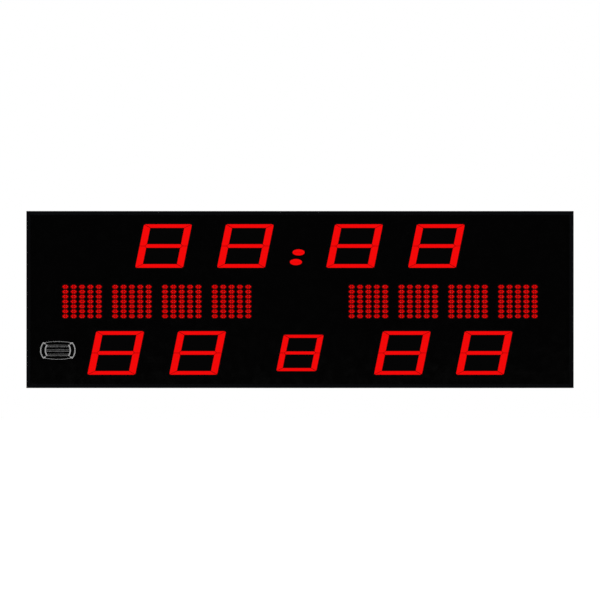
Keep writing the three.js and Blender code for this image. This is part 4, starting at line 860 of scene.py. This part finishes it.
# Hinge, strikes and latches: bright zinc-plated steel, rolled and pressed, with slightly yellow passivation.
# The hinge runs along the top, and the latches turn behind the strikes' lips at the bottom.
bright_zinc = grained_material("bright_zinc_plate", {
    "Base Color": linear("b9b8b2"), "Metallic": 1, "Roughness": 0.3}, 8, 5, gloss=(0.22, 0.42))
for name, body, radius in [
    ("hinge_front_leaf", "front", 0.2),
    ("hinge_tray_leaf", "cabinet", 0.2),
    ("hinge_pin", "cabinet", 0.2),
    ("left_strike", "cabinet", 0.4),
    ("right_strike", "cabinet", 0.4),
    ("left_latch", "left_latch", 0.3),
    ("right_latch", "right_latch", 0.3),
]:
    finish_node(name, radius, "_steel", body, bright_zinc)
strike_rivet = turned([(2.6, 0), (2.5, 0.4), (1.9, 0.9), (0, 1.2)], 14)
form = bmesh.new()
for strike in ("left_strike", "right_strike"):
    low, high = box_of(strike)
    for step in (-5, 5):
        spot = ((low.x + high.x) / 2 + step, high.y - 11.7, low.z)
        stamp(form, strike_rivet, standing(spot, (0, 0, -1)))
finish_piece(form, "strike_rivets", "cabinet", stainless)


# Front seal: a strip of black EPDM sponge stuck around the tray's mouth, which the frame presses on.
# Its skin is dull, with fine open pores.
sponge, tree, skin, where = start_material("epdm_sponge", {"Base Color": linear("131313"), "Roughness": 0.9})
pores = add_node(tree, "TexVoronoi", {"Vector": where, "Scale": 1000 / 1.2}).outputs["Distance"]
relief = add_node(tree, "Bump", {"Height": pores, "Strength": 0.6, "Distance": 0.0004})
feed(skin, {"Normal": relief})
dress(["front_seal"], sponge)


# Power switch: a snap-in rocker switch with a black PBT bezel and a red rocker.
# The rocker carries the usual bar and ring for on and off, printed in white.
pbt = grained_material("black_pbt", {
    "Base Color": linear("0e0e0f"), "Roughness": 0.35, "IOR": 1.55}, 5, 3, gloss=(0.28, 0.42))
red_pbt = grained_material("red_pbt", {
    "Base Color": linear("a3120f"), "Roughness": 0.3, "IOR": 1.55}, 3, 3, gloss=(0.22, 0.36))
white_ink, tree, skin, where = start_material("white_pad_print", {
    "Base Color": linear("e4e4e0"), "Roughness": 0.5})
wear = add_node(tree, "TexNoise", {"Vector": where, "Scale": 1000 / 1.5, "Detail": 3}).outputs["Fac"]
ink = add_node(tree, "ValToRGB", {"Fac": wear})
ink.color_ramp.elements[0].color, ink.color_ramp.elements[1].color = linear("d2d2ce"), linear("eeeeea")
feed(skin, {"Base Color": ink})
finish_piece(softened("power_switch_body", 0.3), "power_switch_bezel", "cabinet", pbt,
             ["power_switch_body"])
form = softened("power_rocker", 0.3)
halves = sorted((f for f in form.faces if f.normal.x > 0.8), key=lambda f: f.calc_area())[-2:]
halves.sort(key=lambda f: f.calc_center_median().z)
marks = [standing(f.calc_center_median(), f.normal) for f in halves]
ring = turned([(1.9, 0.02), (1.9, 0.08), (1.4, 0.08), (1.4, 0.02), (1.9, 0.02)], 24, 1)
stamp(form, ring, marks[0])
bar = small_mesh(((-0.3, 0.3), (-1.9, 1.9), (0.02, 0.08), 0, 1))
stamp(form, bar, marks[1])
finish_piece(form, "power_rocker_moulding", "power_rocker", [red_pbt, white_ink],
             ["power_rocker"])


# Mains inlet: a three-pin socket moulded in black PBT with its fuse drawer above, held by two screws.
# The pins are nickel-plated brass. The drawer has a finger ridge.
low, high = box_of("mains_inlet")
wall_y, inlet_z = (low.y + high.y) / 2, (low.z + high.z) / 2
cavity_z, cavity_floor, pin_length, screw_step = inlet_z - 6.2, high.x - 17, 13, 20
finish_node("mains_inlet", 0.3, "_moulding", "cabinet", pbt)
nickel = grained_material("nickel_plated_brass", {
    "Base Color": linear("c8c4b8"), "Metallic": 1, "Roughness": 0.25}, 2, 3, gloss=(0.18, 0.34))
form = bmesh.new()
for y, z in ((-7, -1.5), (7, -1.5), (0, 2.5)):
    add_block(form, (cavity_floor - 1, cavity_floor + pin_length), (wall_y + y - 1, wall_y + y + 1),
              (cavity_z + z - 2, cavity_z + z + 2), 0.4)
for y in (-screw_step, screw_step):
    stamp(form, socket_screw, standing((high.x, wall_y + y, inlet_z), (1, 0, 0)))
finish_piece(form, "inlet_pins_and_screws", "cabinet", nickel)
form = softened("fuse_drawer", 0.4)
low, high = box_of("fuse_drawer")
for rise in (-2, 0, 2):
    z = (low.z + high.z) / 2 + rise
    add_block(form, (high.x - 0.2, high.x + 0.5), (wall_y - 5, wall_y + 5), (z - 0.5, z + 0.5), 0.2)
finish_piece(form, "fuse_drawer_moulding", "fuse_drawer", pbt, ["fuse_drawer"])


# Data socket: a round five-pin socket with a nickel shell inside its black flange.
# The pins stand on an arc in the cavity.
low, high = box_of("data_socket")
finish_node("data_socket", 0.3, "_moulding", "cabinet", pbt)
face = standing((high.x, wall_y, (low.z + high.z) / 2), (1, 0, 0))
form = bmesh.new()
shell = turned([(5.9, -9.5), (5.9, 0.3), (7, 0.3), (7.2, 0.1), (5.6, 0.1), (5.6, -9.5), (5.9, -9.5)], 40)
stamp(form, shell, face)
pin = turned([(0, -10), (0.7, -10), (0.7, -3.4), (0.4, -3), (0, -3)], 12)
pin_circle = 3.6
for i in range(5):
    turn = math.radians(45 * i)
    stamp(form, pin, face @ Matrix.Translation((pin_circle * math.cos(turn), pin_circle * math.sin(turn), 0)))
finish_piece(form, "data_socket_contacts", "cabinet", nickel)


# Volume knob: a small fluted PBT knob pushed on its shaft, which runs through the tray's wall.
# Its white pointer line stands at the lower left when the knob is turned right down.
low, high = box_of("volume_knob")
axis = standing((low.x, wall_y, (low.z + high.z) / 2), (1, 0, 0))
length, grip_length, rim_points, points_per_flute, flute = high.x - low.x, 5, 96, 4, 0.95
shaft = length - grip_length
form = bmesh.new()
stamp(form, turned([(0, 0), (2.6, 0), (3, 0.4), (3, shaft), (0, shaft)], 24), axis)
rim = bmesh.ops.create_circle(form, cap_ends=True, segments=rim_points, radius=8.3,
                              matrix=axis @ Matrix.Translation((0, 0, shaft)))["verts"]
grip = next(f for f in rim[0].link_faces if len(f.verts) == rim_points)
from_axis = Matrix.Translation(-axis.translation)
bmesh.ops.scale(form, vec=(1, flute, flute), space=from_axis, verts=list(grip.verts)[::points_per_flute])
for rise, shrink in ((4.2, 1), (0.5, 0.95), (0.3, 0.86), (-0.3, 0.5)):
    top = bmesh.ops.extrude_face_region(form, geom=[grip])
    bmesh.ops.delete(form, geom=[grip], context="FACES_ONLY")
    grip = added(top, BMFace)[0]
    bmesh.ops.translate(form, vec=(rise, 0, 0), verts=grip.verts)
    bmesh.ops.scale(form, vec=(1, shrink, shrink), space=from_axis, verts=grip.verts)
bmesh.ops.recalc_face_normals(form, faces=form.faces)
turned_down = axis @ Matrix.Rotation(math.radians(140), 4, "Z")
stamp(form, small_mesh(((-0.4, 0.4), (2.5, 6.6), (length - 0.2, length), 0, 1)), turned_down)
finish_piece(form, "volume_knob_moulding", "volume_knob", [pbt, white_ink],
             ["volume_knob"])
